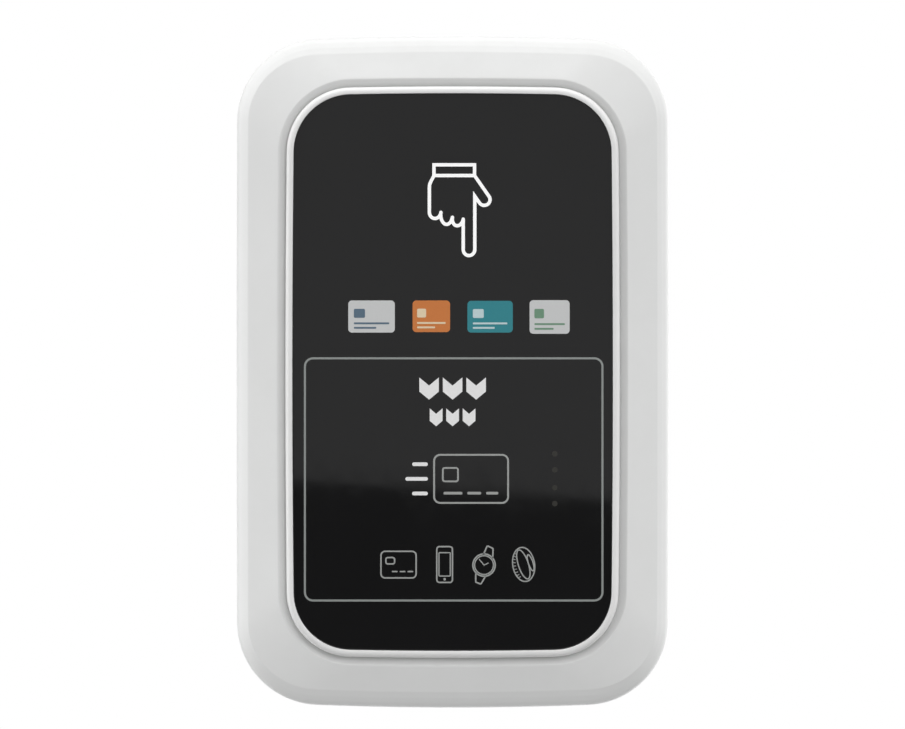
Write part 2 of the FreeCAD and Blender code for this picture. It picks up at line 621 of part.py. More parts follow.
def main_board():
    plate = block("board_plate", ("-board_half_width", "board_half_width"),
                  ("board_level", "board_front_level"), ("board_low", "board_high"))
    holes = rods_out("board_hole", BOARD_PLACES, ("board_level - 1", "board_front_level + 1"),
                     "board_screw_radius + 0.1")
    keep(cut("board_cut", plate, *holes), "main_board")
    group("board_standoffs", [
        cut("standoff_%d" % index,
            hexagon("standoff_body_%d" % index, "out", (x, "board_front_level", z),
                    "2 * standoff_radius", "chassis_level - board_front_level"),
            rod("standoff_bore_%d" % index, "out", (x, "board_front_level - 1", z),
                "board_screw_radius", "chassis_level - board_front_level + 2"))
        for index, (x, z) in enumerate(BOARD_PLACES)])
    group("board_screws", [
        screw_out("board_screw_%d" % index, spot, "board_level", "board_screw_level",
                  "board_screw_radius", "board_head_radius", "board_head_height")
        for index, spot in enumerate(BOARD_PLACES)])
    for label in BACK_SIDE_PARTS:
        keep(soldered_part(label, ("board_level - %s_depth" % label, "board_level")), label)
    group("board_connectors", [
        soldered_part(label, ("board_front_level", "board_front_level + %s_depth" % label))
        for label in FRONT_SIDE_PARTS])


def chips_and_capacitors():
    """Memory and controller packages, secure module sockets, and can capacitors."""
    group("circuit_chips", [
        centred_block("chip_%d" % index, x, z, size, size,
                      ("board_level - chip_height", "board_level"))
        for index, (x, z, size) in enumerate(CHIPS)])
    group("secure_module_sockets", [
        centred_block("secure_socket_%d" % index,
                      "secure_socket_x + %d * secure_socket_pitch" % index, "secure_socket_z",
                      "secure_socket_width", "secure_socket_height",
                      ("board_level - secure_socket_depth", "board_level"))
        for index in range(DIMS["secure_socket_count"])])
    group("capacitors", [
        rod("capacitor_%d" % index, "out",
            ("capacitor_x + %d * capacitor_pitch" % index, "board_level - capacitor_depth",
             "capacitor_z"), "capacitor_radius", "capacitor_depth")
        for index in range(DIMS["capacitor_count"])])


def backup_cell():
    level = "board_level - holder_floor"
    cup = rod("holder_cup", "out", ("cell_x", level + " - cell_height", "cell_z"),
              "holder_radius", "cell_height + holder_floor")
    hollow = rod("holder_hollow", "out", ("cell_x", level + " - cell_height - 1", "cell_z"),
                 "cell_radius", "cell_height + 1")
    keep(cut("holder_cut", cup, hollow), "battery_holder")
    keep(rod("cell", "out", ("cell_x", level + " - cell_height", "cell_z"), "cell_radius",
             "cell_height"), "backup_battery")


def terminal_block():
    width = "terminal_count * terminal_pitch"
    body = centred_block("terminal_body", "terminal_x", "terminal_z", "(%s)" % width,
                         "terminal_height", ("board_level - terminal_depth", "board_level"))
    wire_holes, screws, screw_holes = [], [], []
    for index in range(DIMS["terminal_count"]):
        x = "terminal_x - %s / 2 + %g * terminal_pitch" % (width, index + 0.5)
        top = "board_level - terminal_depth"
        wire_holes.append(rod("wire_hole_%d" % index, "up",
                              (x, "board_level - terminal_depth / 2",
                               "terminal_z - terminal_height / 2 - 1"),
                              "wire_hole", "terminal_height / 2"))
        screw_holes.append(rod("clamp_hole_%d" % index, "out", (x, top + " - 1", "terminal_z"),
                               "terminal_screw_radius", "terminal_screw_height + 1"))
        screws.append(rod("clamp_screw_%d" % index, "out", (x, top, "terminal_z"),
                          "terminal_screw_radius", "terminal_screw_height"))
    keep(cut("terminal_cut", body, *wire_holes, *screw_holes), "terminal_block")
    group("terminal_screws", screws)


def flex_cables():
    """Thin flat tails that drop from the antenna and light boards to the main board."""
    group("flex_cables", [
        block("antenna_flex", ("antenna_x - 3", "antenna_x + 3"),
              ("board_front_level + antenna_connector_depth", "antenna_level"),
              ("antenna_flex_z", "antenna_flex_z + flex_thickness")),
        block("led_flex", ("led_x - 3", "led_x + 1"),
              ("board_front_level + led_connector_depth", "led_level"),
              ("led_flex_z", "led_flex_z + flex_thickness")),
    ])


# ---- Inside the rear cover ----

def loudspeaker():
    centre = ("speaker_x", "rear_floor_level", "speaker_z")
    gasket_top = "rear_floor_level + gasket_height"
    keep(cut("gasket_cut", rod("gasket_disc", "out", centre, "speaker_radius", "gasket_height"),
             rod("gasket_bore", "out", ("speaker_x", "rear_floor_level - 1", "speaker_z"),
                 "speaker_radius - gasket_width", "gasket_height + 2")), "speaker_gasket")
    frame = rod("speaker_frame", "out", ("speaker_x", gasket_top, "speaker_z"),
                "speaker_radius", "speaker_height")
    magnet = rod("speaker_magnet", "out", ("speaker_x", gasket_top + " + speaker_height - 0.1",
                                           "speaker_z"), "magnet_radius", "magnet_height")
    ears = block("speaker_ears", ("speaker_x - speaker_ear - 2.5", "speaker_x + speaker_ear + 2.5"),
                 (gasket_top, gasket_top + " + 1.5"), ("speaker_z - 3", "speaker_z + 3"))
    ear_spots = [("speaker_x %s speaker_ear" % sign, "speaker_z") for sign in "+-"]
    holes = rods_out("speaker_ear_hole", ear_spots, (gasket_top + " - 1", gasket_top + " + 3"),
                     "speaker_screw_radius")
    keep(cut("speaker_cut", fuse("speaker_solid", frame, magnet, ears), *holes), "loudspeaker")
    screws = []
    for index, (x, z) in enumerate(ear_spots):
        shank = rod("speaker_shank_%d" % index, "out", (x, "back_level + 1.2", z),
                    "speaker_screw_radius", "%s + 1.5 - back_level - 1.2" % gasket_top)
        head = rod("speaker_head_%d" % index, "out", (x, gasket_top + " + 1.5", z),
                   "2 * speaker_screw_radius", "1.2")
        screws.append(fuse("speaker_screw_%d" % index, shank, head))
    group("speaker_screws", screws)


def pressure_vent():
    body = fuse("vent_solid",
                rod("vent_head", "out", ("vent_x", "back_level - vent_head_height", "vent_z"),
                    "vent_head_radius", "vent_head_height"),
                rod("vent_stem", "out", ("vent_x", "back_level", "vent_z"), "vent_radius",
                    "rear_floor_level - back_level + 2"))
    bore = rod("vent_bore_hole", "out", ("vent_x", "back_level - 0.6", "vent_z"), "vent_bore", "7")
    side = block("vent_side_slot", ("vent_x - vent_head_radius - 1", "vent_x"),
                 ("back_level - 0.6", "back_level - 0.001"), ("vent_z - 1", "vent_z + 1"))
    keep(cut("vent_cut", body, bore, side), "vent_plug")
    keep(rod("membrane", "out", ("vent_x", "rear_floor_level + 2", "vent_z"), "vent_radius",
             "membrane_height"), "vent_membrane")


def tamper_switch():
    spot = ("tamper_x", "tamper_z")
    housing = centred_block("tamper_block", *spot, "tamper_width", "tamper_height",
                            ("rear_floor_level", "tamper_top_level"))
    chamber = rod("tamper_chamber", "out", ("tamper_x", "rear_floor_level - 1", "tamper_z"),
                  "chamber_radius", "spring_top_level - rear_floor_level + 1")
    keep(cut("tamper_cut", housing, chamber), "tamper_switch")
    stem = rod("plunger_stem", "out", ("tamper_x", "plunger_tip_level", "tamper_z"),
               "plunger_radius", "plunger_collar_level - plunger_tip_level")
    collar = rod("plunger_collar_disc", "out", ("tamper_x", "plunger_collar_level", "tamper_z"),
                 "plunger_collar", "plunger_collar_height")
    pin = rod("plunger_pin", "out", ("tamper_x", "plunger_collar_level", "tamper_z"),
              "plunger_radius - 0.4", "plunger_top_level - plunger_collar_level")
    keep(fuse("plunger_fuse", stem, collar, pin), "tamper_plunger")
    rings = []
    for index in range(DIMS["spring_turns"]):
        ring = doc.addObject("Part::Torus", "spring_ring_%d" % index)
        ring.Placement = FreeCAD.Placement(FreeCAD.Vector(), TURNS["out"])
        place(ring, "tamper_x", "plunger_collar_level + plunger_collar_height + spring_wire"
              " + 0.02 + %d * spring_pitch" % index, "tamper_z")
        bind(ring, Radius1="spring_radius - spring_wire", Radius2="spring_wire")
        rings.append(ring)
    group("tamper_spring", rings)


def rear_label():
    keep(centred_block("label_plate", "label_x", "label_z", "label_width", "label_height",
                       ("back_level - label_thickness", "back_level")), "rear_label")


# ---- Cable gland ----

def cable_gland():
    """Gland in the bay's top wall; the cable leaves downwards."""
    seat = ("gland_x", "gland_level", "bay_high")
    flange_low = "bay_high - gland_hex_height"
    body = fuse("gland_solid",
                hexagon("gland_flange", "up", ("gland_x", "gland_level", flange_low), "gland_hex",
                        "gland_hex_height"),
                rod("gland_thread", "up", seat, "thread_radius", "thread_top - bay_high"),
                rod("gland_collet", "up", ("gland_x", "gland_level", flange_low + " - 8"),
                    "thread_radius", "8"))
    bore = rod("gland_bore", "up", ("gland_x", "gland_level", "bay_high - 30"),
               "cable_radius", "60")
    pot = rod("gland_pot", "up", ("gland_x", "gland_level", flange_low + " - 9"),
              "gland_seal_radius", "gland_seal_height + 2")
    keep(cut("gland_cut", body, bore, pot), "gland_body")
    dome_low = flange_low + " - dome_height"
    dome = fuse("dome_solid",
                hexagon("dome_hex", "up", ("gland_x", "gland_level", flange_low + " - 6"),
                        "gland_hex - 0.6", "6"),
                taper("dome_cone", "up", ("gland_x", "gland_level", dome_low), "dome_mouth",
                      "gland_hex / 2 - 0.3", "dome_height - 6"))
    keep(cut("dome_cut", dome,
             rod("dome_pocket", "up", ("gland_x", "gland_level", flange_low + " - 8"),
                 "thread_radius", "9"),
             rod("dome_bore", "up", ("gland_x", "gland_level", dome_low + " - 1"),
                 "cable_radius", "20")), "gland_dome_nut")
    keep(cut("gland_seal_cut",
             rod("gland_seal_body", "up", ("gland_x", "gland_level", flange_low + " - 8"),
                 "gland_seal_radius", "gland_seal_height + 1"),
             rod("gland_seal_bore", "up", ("gland_x", "gland_level", flange_low + " - 9"),
                 "cable_radius", "gland_seal_height + 3")), "gland_seal")
    keep(cut("locknut_cut",
             hexagon("locknut_hex", "up", ("gland_x", "gland_level", "bay_high + bay_wall"),
                     "gland_hex", "locknut_height"),
             rod("locknut_bore", "up", ("gland_x", "gland_level", "bay_high + 1"),
                 "thread_radius", "locknut_height + 5")), "gland_locknut")


# ---- Cam lock ----

def cam_lock():
    head_top = "lock_head_low + lock_head_height"
    body = fuse("lock_solid",
                rod("lock_head", "up", ("lock_x", "lock_level", "lock_head_low"),
                    "lock_head_radius", "lock_head_height"),
                rod("lock_barrel", "up", ("lock_x", "lock_level", head_top), "lock_radius",
                    "lock_top - (%s)" % head_top))
    keep(cut("lock_cut", body,
             rod("lock_bore", "up", ("lock_x", "lock_level", "lock_head_low - 1"),
                 "plug_radius + plug_clearance", "lock_top - lock_head_low + 2")), "lock_body")
    keep(cut("lock_nut_cut",
             hexagon("lock_nut_hex_body", "up", ("lock_x", "lock_level", "bay_low"),
                     "lock_nut_hex", "lock_nut_height"),
             rod("lock_nut_bore", "up", ("lock_x", "lock_level", "bay_low - 1"), "lock_radius",
                 "lock_nut_height + 2")), "lock_nut")
    plug = fuse("plug_solid",
                rod("plug_barrel", "up", ("lock_x", "lock_level", "lock_head_low"),
                    "plug_radius", "lock_top + 0.4 - lock_head_low"),
                centred_square("plug_square", "lock_top + 0.4",
                               "cam_low + cam_height - lock_top - 0.4", "cam_square"))
    slot = block("key_slot", ("lock_x - key_slot_width / 2", "lock_x + key_slot_width / 2"),
                 ("lock_level - key_slot_length / 2", "lock_level + key_slot_length / 2"),
                 ("lock_head_low - 1", "lock_head_low + key_slot_depth"))
    tap = rod("plug_tap", "up", ("lock_x", "lock_level", "cam_low - 6"), "cam_screw_radius", "12")
    keep(cut("plug_cut", plug, slot, tap), "lock_plug")
    cam = fuse("cam_solid",
               rod("cam_eye", "up", ("lock_x", "lock_level", "cam_low"), "cam_width / 2",
                   "cam_height"),
               block("cam_arm", ("lock_x - cam_width / 2", "lock_x + cam_width / 2"),
                     ("lock_level - cam_reach", "lock_level"),
                     ("cam_low", "cam_low + cam_height")))
    keep(cut("cam_cut", cam, centred_square("cam_hole", "cam_low - 1", "cam_height + 2",
                                            "cam_square")), "lock_cam")
    top = "cam_low + cam_height"
    keep(fuse("cam_screw_fuse",
              rod("cam_screw_head_disc", "up", ("lock_x", "lock_level", top),
                  "cam_screw_head + 1", "cam_screw_head_height"),
              rod("cam_screw_shank", "up", ("lock_x", "lock_level", "cam_low - 5"),
                  "cam_screw_radius", "cam_height + 5")), "cam_screw")


def centred_square(name, low, height, side):
    """Square prism on the lock's axis."""
    return block(name, ("lock_x - %s / 2" % side, "lock_x + %s / 2" % side),
                 ("lock_level - %s / 2" % side, "lock_level + %s / 2" % side),
                 (low, "%s + %s" % (low, height)))


# ---- Hinge rod and wall plate ----

def hinge_rod():
    keep(rod("rod_body", "right", ("-rod_half_length", "pivot_level", "pivot_z"), "rod_radius",
             "2 * rod_half_length"), "hinge_rod")


def hook(name, x):
    """Tab in the plane of the swing with a slot that is open upwards."""
    blank = block(name + "_blank", (x, x + " + plate_thickness"), ("0", "hook_level"),
                  ("hook_low", "hook_top"))
    seat = rod(name + "_seat", "right", (x + " - 1", "pivot_level", "pivot_z"), "seat_radius",
               "plate_thickness + 2")
    slot = block(name + "_slot", (x + " - 1", x + " + plate_thickness + 1"),
                 ("pivot_level - seat_radius", "pivot_level + seat_radius"),
                 ("pivot_z", "hook_top + 1"))
    return cut(name, blank, seat, slot)


def wall_plate():
    sheet_levels = ("0", "plate_thickness")
    base = fuse("plate_base",
                block("plate_tall", ("-plate_half_width + plate_corner",
                                     "plate_half_width - plate_corner"),
                      sheet_levels, ("plate_low", "plate_high")),
                block("plate_wide", ("-plate_half_width", "plate_half_width"), sheet_levels,
                      ("plate_low + plate_corner", "plate_high - plate_corner")),
                *rods_out("plate_corner_round",
                          [(sx + "(plate_half_width - plate_corner)", z)
                           for sx in ("", "-") for z in ("plate_low + plate_corner",
                                                         "plate_high - plate_corner")],
                          sheet_levels, "plate_corner"))
    flanges = [block("plate_flange_" + side, across, ("0", "flange_level"),
                     ("flange_low", "flange_high"))
               for side, across in (
                   ("right", ("plate_half_width - plate_thickness", "plate_half_width")),
                   ("left", ("-plate_half_width", "-plate_half_width + plate_thickness")))]
    hooks = [hook("hook_right", "hook_x"), hook("hook_left", "-hook_x - plate_thickness")]
    tongue = cut("tongue",
                 block("tongue_blank", ("tongue_x", "tongue_x + plate_thickness"),
                       ("0", "tongue_level"), ("tongue_low", "tongue_high")),
                 block("strike_window", ("tongue_x - 1", "tongue_x + plate_thickness + 1"),
                       ("strike_near_level", "strike_far_level"),
                       ("strike_low", "strike_high")))
    holes = rods_out("bolt_hole", [(sx + "bolt_spacing_x / 2", sz + "bolt_spacing_z / 2")
                                   for sx in ("", "-") for sz in ("", "-")],
                     ("-1", "plate_thickness + 1"), "bolt_hole_radius")
    window = block("cable_window", ("cable_window_left", "cable_window_right"),
                   ("-1", "plate_thickness + 1"), ("cable_window_low", "cable_window_high"))
    keep(cut("plate_cut", fuse("plate_solid", base, *flanges, *hooks, tongue), window, *holes),
         "wall_plate")
    group("rubber_buffers", rods_out("buffer", [("buffer_x", "buffer_z"),
                                                ("-buffer_x", "buffer_z")],
                                     ("plate_thickness", "buffer_level"), "buffer_radius"))


def check_and_export():
    doc.recompute()
    for obj in doc.Objects:
        if {"Invalid", "Error"} & set(obj.State):
            raise RuntimeError("%s failed: %s" % (obj.Name, obj.State))
    os.makedirs("parts", exist_ok=True)
    for obj in NODES:
        if obj.Shape.isNull() or not obj.Shape.isValid():
            raise RuntimeError(obj.Label + " has no valid shape")
    for obj in NODES:
        obj.Shape.exportStep("parts/%s.step" % obj.Label)
        print("%-24s %2d solids %10.1f mm3" % (obj.Label, len(obj.Shape.Solids),
                                               obj.Shape.Volume))


for make in (front_cover, rear_cover, bezel_ring, front_glass, glass_tape, perimeter_seal,
             casing_fasteners, inner_chassis, reader_antenna, status_lights, main_board,
             chips_and_capacitors, backup_cell, terminal_block, flex_cables, loudspeaker,
             pressure_vent, tamper_switch, rear_label, cable_gland, cam_lock, hinge_rod,
             wall_plate):
    make()
check_and_export()
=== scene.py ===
import json
import math

import bmesh
import bpy
import numpy as np
from bpy.props import FloatProperty, FloatVectorProperty, PointerProperty
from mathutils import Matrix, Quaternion, Vector


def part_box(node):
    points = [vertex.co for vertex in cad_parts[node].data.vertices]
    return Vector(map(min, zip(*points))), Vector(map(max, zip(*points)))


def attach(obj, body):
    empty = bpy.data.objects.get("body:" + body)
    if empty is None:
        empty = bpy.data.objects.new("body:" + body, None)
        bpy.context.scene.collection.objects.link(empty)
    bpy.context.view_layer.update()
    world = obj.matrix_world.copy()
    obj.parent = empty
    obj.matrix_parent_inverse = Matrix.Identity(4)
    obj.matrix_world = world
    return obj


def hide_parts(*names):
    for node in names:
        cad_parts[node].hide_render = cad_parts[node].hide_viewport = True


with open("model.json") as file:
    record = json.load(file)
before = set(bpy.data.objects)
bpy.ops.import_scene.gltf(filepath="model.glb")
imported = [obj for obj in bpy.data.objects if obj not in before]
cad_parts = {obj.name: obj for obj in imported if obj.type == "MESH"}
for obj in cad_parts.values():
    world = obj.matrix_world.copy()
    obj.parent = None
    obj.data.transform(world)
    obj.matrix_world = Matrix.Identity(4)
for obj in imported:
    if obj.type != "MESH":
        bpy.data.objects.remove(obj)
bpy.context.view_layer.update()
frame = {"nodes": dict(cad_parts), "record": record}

bl_info = {
    "name": "Ticket Validator",
    "version": (1, 0, 0),
    "blender": (4, 5, 0),
    "location": "View3D > Sidebar > Validator",
    "description": "Builds the looks of a wall-hung ticket validator round its CAD frame",
    "category": "Object",
}

MM = 0.001
BODY = "validator"


def level_of(node, face="front"):
    """Distance of a CAD node's front or back face from the wall."""
    low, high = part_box(node)
    return -low.y if face == "front" else -high.y


def half_size(node):
    """Half width and half height of a CAD node that is centred on the casing."""
    low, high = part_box(node)
    return (high.x - low.x) / 2, (high.z - low.z) / 2


CASE_HALF = half_size("front_cover")
PANEL_HALF = half_size("front_glass")
CREST_LEVEL = level_of("front_cover")
PARTING_LEVEL = level_of("front_cover", "back")
LIP_LEVEL = level_of("bezel_ring")
BEZEL_BACK_LEVEL = level_of("bezel_ring", "back")
GLASS_LEVEL = level_of("front_glass")
GLASS_BACK_LEVEL = level_of("front_glass", "back")
TAPE_BACK_LEVEL = level_of("glass_tape", "back")


def length(title, default, description):
    return FloatProperty(name=title, default=default, description=description, unit="LENGTH",
                         precision=5)


def colour(title, default, description):
    return FloatVectorProperty(name=title, default=default, description=description,
                               subtype="COLOR", size=3, min=0.0, max=1.0)


class ValidatorSizes(bpy.types.PropertyGroup):
    """Sizes that shape the casing, the ring and the print."""
    case_corner: length("Casing corner", 24.8 * MM, "Corner radius of the casing outline")
    case_side: length("Casing side bow", 20.0, "Radius of the casing's bowed sides")
    case_end: length("Casing end bow", 1.03, "Radius of the casing's bowed top and bottom")
    panel_corner: length("Glass corner", 17.2 * MM, "Corner radius of the glass outline")
    panel_side: length("Glass side bow", 5.7, "Radius of the glass's bowed sides")
    panel_end: length("Glass end bow", 1.51, "Radius of the glass's bowed ends")
    wall: length("Wall", 4.0 * MM, "Thickness of the casing's side wall")
    face_inset: length("Face inset", 4.9 * MM, "How far in from the outline the front face starts")
    band_inset: length("Band inset", 3.0 * MM, "How far in the flat band round the face starts")
    side_squeeze: FloatProperty(name="Side squeeze", default=0.28, min=0.0, max=0.6,
                                description="How much narrower the shoulder is at the sides")
    crest_offset: length("Crest", 4.45 * MM, "From the glass edge to the crest of the groove")
    ring_gap: length("Glass gap", 0.03 * MM, "Gap between the glass and its ring")
    ring_width: length("Ring width", 2.06 * MM, "Width of the raised ring")
    stroke: length("Hand stroke", 1.0 * MM, "Line width of the pointing hand")
    thin_stroke: length("Icon stroke", 0.43 * MM, "Line width of the small icons")
    ink: length("Ink", 0.03 * MM, "Thickness of the print on the glass")


class ValidatorColours(bpy.types.PropertyGroup):
    """Colours of the casing, the glass and the print."""
    casing: colour("Casing", (0.80, 0.805, 0.80), "White moulded plastic")
    ring: colour("Ring", (0.83, 0.83, 0.825), "Raised ring round the glass")
    glass: colour("Glass", (0.0095, 0.0095, 0.0098), "Black back print seen through the glass")
    hand_ink: colour("Hand ink", (0.92, 0.92, 0.92), "Pointing hand")
    bright_ink: colour("Bright ink", (0.87, 0.87, 0.87), "Arrows and the card in the tap zone")
    pale_ink: colour("Pale ink", (0.37, 0.38, 0.37), "Small icons")
    line_ink: colour("Line ink", (0.29, 0.31, 0.30), "Frame of the tap zone")
    window: colour("Window", (0.036, 0.035, 0.031), "Unlit status windows")


# ---- Outlines and meshes ----

SIDE_STEPS, CORNER_STEPS, END_STEPS = 36, 22, 26


def outline(kind):
    """Points and outward normals of an outline of eight tangent arcs, as two (n, 2) arrays.

    The corner arc's centre is where two circles about the side and end arc centres cross,
    with radii smaller by the corner's own. Each arc is centre + radius (cos a, sin a) for
    evenly spaced angles a, so a wider outline is the same points pushed along the normals.
    """
    sizes = bpy.context.scene.validator_sizes
    half_w, half_h = CASE_HALF if kind == "case" else PANEL_HALF
    side, end, corner = (getattr(sizes, kind + part) for part in ("_side", "_end", "_corner"))
    side_x, end_z = half_w - side, half_h - end
    apart = math.hypot(side_x, end_z)
    along = ((side - corner) ** 2 - (end - corner) ** 2 + apart ** 2) / (2 * apart)
    aside = math.sqrt((side - corner) ** 2 - along ** 2)
    unit_x, unit_z = -side_x / apart, end_z / apart
    cx = side_x + along * unit_x - aside * unit_z
    cz = along * unit_z + aside * unit_x
    low, high = math.atan2(cz, cx - side_x), math.atan2(cz - end_z, cx)
    turn = math.pi
    arcs = [
        (side_x, 0, side, -low, low, SIDE_STEPS),
        (cx, cz, corner, low, high, CORNER_STEPS),
        (0, end_z, end, high, turn - high, END_STEPS),
        (-cx, cz, corner, turn - high, turn - low, CORNER_STEPS),
        (-side_x, 0, side, turn - low, turn + low, SIDE_STEPS),
        (-cx, -cz, corner, turn + low, turn + high, CORNER_STEPS),
        (0, -end_z, end, turn + high, 2 * turn - high, END_STEPS),
        (cx, -cz, corner, 2 * turn - high, 2 * turn - low, CORNER_STEPS),
    ]
    points, normals = [], []
    for x, z, radius, first, last, steps in arcs:
        angle = np.linspace(first, last, steps, endpoint=False)
        normal = np.stack([np.cos(angle), np.sin(angle)], axis=1)
        points.append(np.array([x, z]) + radius * normal)
        normals.append(normal)
    return np.concatenate(points), np.concatenate(normals)


def placed(name, mesh, sharp):
    """Object of a mesh, smooth but for edges that turn by more than the given degrees."""
    mesh.shade_smooth()
    mesh.set_sharp_from_angle(angle=math.radians(sharp))
    piece = bpy.data.objects.new(name, mesh)
    bpy.context.collection.objects.link(piece)
    return piece


def mesh_piece(name, points, wrap_rows=True, caps=False, sharp=40):
    """Object from a grid of points (rows, columns, 3): one quad for each grid cell.

    The last column joins the first, and so does the last row where rows wrap. Caps close the
    first and last row, each with a fan of triangles about the row's mean point.
    """
    rows, columns = points.shape[:2]
    row = np.arange(rows if wrap_rows else rows - 1)[:, None]
    column = np.arange(columns)[None, :]
    next_row, next_column = (row + 1) % rows, (column + 1) % columns
    quads = np.stack(np.broadcast_arrays(
        row * columns + column, row * columns + next_column,
        next_row * columns + next_column, next_row * columns + column), axis=-1).reshape(-1, 4)
    vertices = points.reshape(-1, 3)
    faces = quads.tolist()
    if caps:
        around = np.arange(columns)
        after = (around + 1) % columns
        for edge, first in ((points[0], 0), (points[-1], (rows - 1) * columns)):
            middle = np.full(columns, len(vertices))
            vertices = np.concatenate([vertices, edge.mean(axis=0)[None]])
            faces += np.stack([first + around, first + after, middle], axis=1).tolist()
    mesh = bpy.data.meshes.new(name)
    mesh.from_pydata(vertices, [], faces)
    work = bmesh.new()
    work.from_mesh(mesh)
    bmesh.ops.recalc_face_normals(work, faces=work.faces)
    work.to_mesh(mesh)
    work.free()
    return placed(name, mesh, sharp)


def declare(piece, slot, material, *nodes):
    """Ride the casing's body, take the given material and stand for CAD nodes."""
    piece.data.materials.append(material)
    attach(piece, BODY)
    if nodes:
        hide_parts(*nodes)


def swept_section(name, profile, hollow=None):
    """Closed section carried round the outlines.

    A profile row is (blend, casing change, glass change, level). The point is
    (1 - blend) (casing outline + casing change) + blend (glass outline + glass change), both
    changes along the outlines' normals, at the level's distance from the wall. The casing
    change shrinks by the side squeeze times the square of the normal's x. The last argument,
    if given, holds a number from 0 to 1 for each row, kept as an attribute that masks painted
    shade.
    """
    case, case_normal = outline("case")
    squeeze = 1 - bpy.context.scene.validator_sizes.side_squeeze * case_normal[:, :1] ** 2
    case_normal = case_normal * squeeze
    panel, panel_normal = outline("panel")
    blend, case_change, panel_change, level = (np.asarray(part)[None, :, None]
                                               for part in np.asarray(profile).T)
    flat = ((1 - blend) * (case[:, None] + case_change * case_normal[:, None])
            + blend * (panel[:, None] + panel_change * panel_normal[:, None]))
    depth = np.broadcast_to(-level, flat.shape[:2] + (1,))
    points = np.concatenate([flat[..., :1], depth, flat[..., 1:]], axis=-1)
    piece = mesh_piece(name, points)
    if hollow is not None:
        kept = piece.data.attributes.new("hollow", "FLOAT", "POINT")
        kept.data.foreach_set("value", np.tile(hollow, len(points)).astype(np.float32))
    return piece


def bezier(first, first_pull, last_pull, last, steps):
    """Cubic curve between two places: places and pulls weighted by the cubics of t and 1 - t."""
    part = np.linspace(0, 1, steps)[:, None]
    corners = [np.asarray(place) for place in (first, first_pull, last_pull, last)]
    weights = ((1 - part) ** 3, 3 * part * (1 - part) ** 2, 3 * part ** 2 * (1 - part), part ** 3)
    return sum(weight * corner for weight, corner in zip(weights, corners))


def facet(first, last, margin=0.13 * MM):
    """Flat run of a section, with two rows near each end so its shading stays flat."""
    first, last = np.asarray(first), np.asarray(last)
    reach = np.linalg.norm(last - first)
    shares = np.array([margin, 2 * margin, reach - 2 * margin, reach - margin]) / reach
    return first + shares[:, None] * (last - first)


def quarter(centre, radius, first, last, steps=6):
    """Arc centre + radius (cos a, sin a) between two angles in degrees, as section rows."""
    angle = np.radians(np.linspace(first, last, steps))
    return np.stack([centre[0] + radius * np.cos(angle), centre[1] + radius * np.sin(angle)],
                    axis=1)


def on_panel(section):
    """Profile rows for a section given as (glass change, level)."""
    return np.array([(1, 0, change, level) for change, level in section])


def on_case(section):
    """Profile rows for a section given as (casing change, level)."""
    return np.array([(0, change, 0, level) for change, level in section])


# ---- Print on the glass ----
# Places are in millimetres from the casing's middle, x across and z up.

def rounded(points, radius, closed=True, steps=7):
    """Path through corners that are rounded by arcs.

    At each corner the arc touches both runs, radius / tan(half the corner's angle) from it,
    and its points turn evenly from one run's normal to the other's.
    """
    points = np.asarray(points, float)
    before, after = np.roll(points, 1, axis=0), np.roll(points, -1, axis=0)
    into = points - before
    away = after - points
    into /= np.linalg.norm(into, axis=1, keepdims=True)
    away /= np.linalg.norm(away, axis=1, keepdims=True)
    turn = np.arctan2(into[:, 0] * away[:, 1] - into[:, 1] * away[:, 0], (into * away).sum(1))
    setback = np.abs(radius * np.tan(turn / 2))
    start = points - setback[:, None] * into
    normal = np.stack([-into[:, 1], into[:, 0]], axis=1) * np.sign(turn)[:, None]
    centre = start + radius * normal
    angle = np.linspace(0, 1, steps)[None, :] * turn[:, None]
    arm = start - centre
    x = centre[:, :1] + arm[:, :1] * np.cos(angle) - arm[:, 1:] * np.sin(angle)
    z = centre[:, 1:] + arm[:, :1] * np.sin(angle) + arm[:, 1:] * np.cos(angle)
    path = np.stack([x, z], axis=-1).reshape(-1, 2)
    if not closed:
        path = np.concatenate([points[:1], path[steps:-steps], points[-1:]])
    return without_repeats(path)


def without_repeats(path):
    """The path without points that lie on their follower."""
    step = np.linalg.norm(np.diff(path, axis=0, append=path[:1]), axis=1)
    keep = step > 1e-7
    keep[-1] = True
    return path[keep]


def ribbon(name, path, width, closed=True, layer=0):
    """Printed line: a flat rectangular section carried along a path on the glass.

    The two edges lie half a width along the mitre of the neighbouring runs, which is cut off
    where it grows long. An open line has round ends: its half width falls as the root of r
    squared minus s squared past each end.
    """
    half, longest_mitre = width / 2, 3.4
    halves = np.full(len(path), half)
    if not closed:
        reach = np.sin(np.linspace(0, math.pi / 2, 6))[1:]
        ends = []
        for tip, inner in ((path[0], path[1]), (path[-1], path[-2])):
            way = (tip - inner) / np.linalg.norm(tip - inner)
            ends.append(tip + half * reach[:, None] * way)
        narrow = half * np.sqrt(np.clip(1 - reach ** 2, 0.0004, 1))
        path = np.concatenate([ends[0][::-1], path, ends[1]])
        halves = np.concatenate([narrow[::-1], halves, narrow])
    ahead = np.roll(path, -1, axis=0) - path
    if not closed:
        ahead[-1] = ahead[-2]
    ahead /= np.linalg.norm(ahead, axis=1, keepdims=True)
    behind = np.roll(ahead, 1, axis=0)
    if not closed:
        behind[0] = ahead[0]
    along = ahead + behind
    along /= np.maximum(np.linalg.norm(along, axis=1, keepdims=True), 1e-6)
    mitre = np.clip(1 / np.maximum((along * ahead).sum(1), 0.2), 1, longest_mitre)
    side = np.stack([-along[:, 1], along[:, 0]], axis=1) * (halves * mitre)[:, None]
    return printed(name, np.stack([path + side, path - side]), closed, layer)


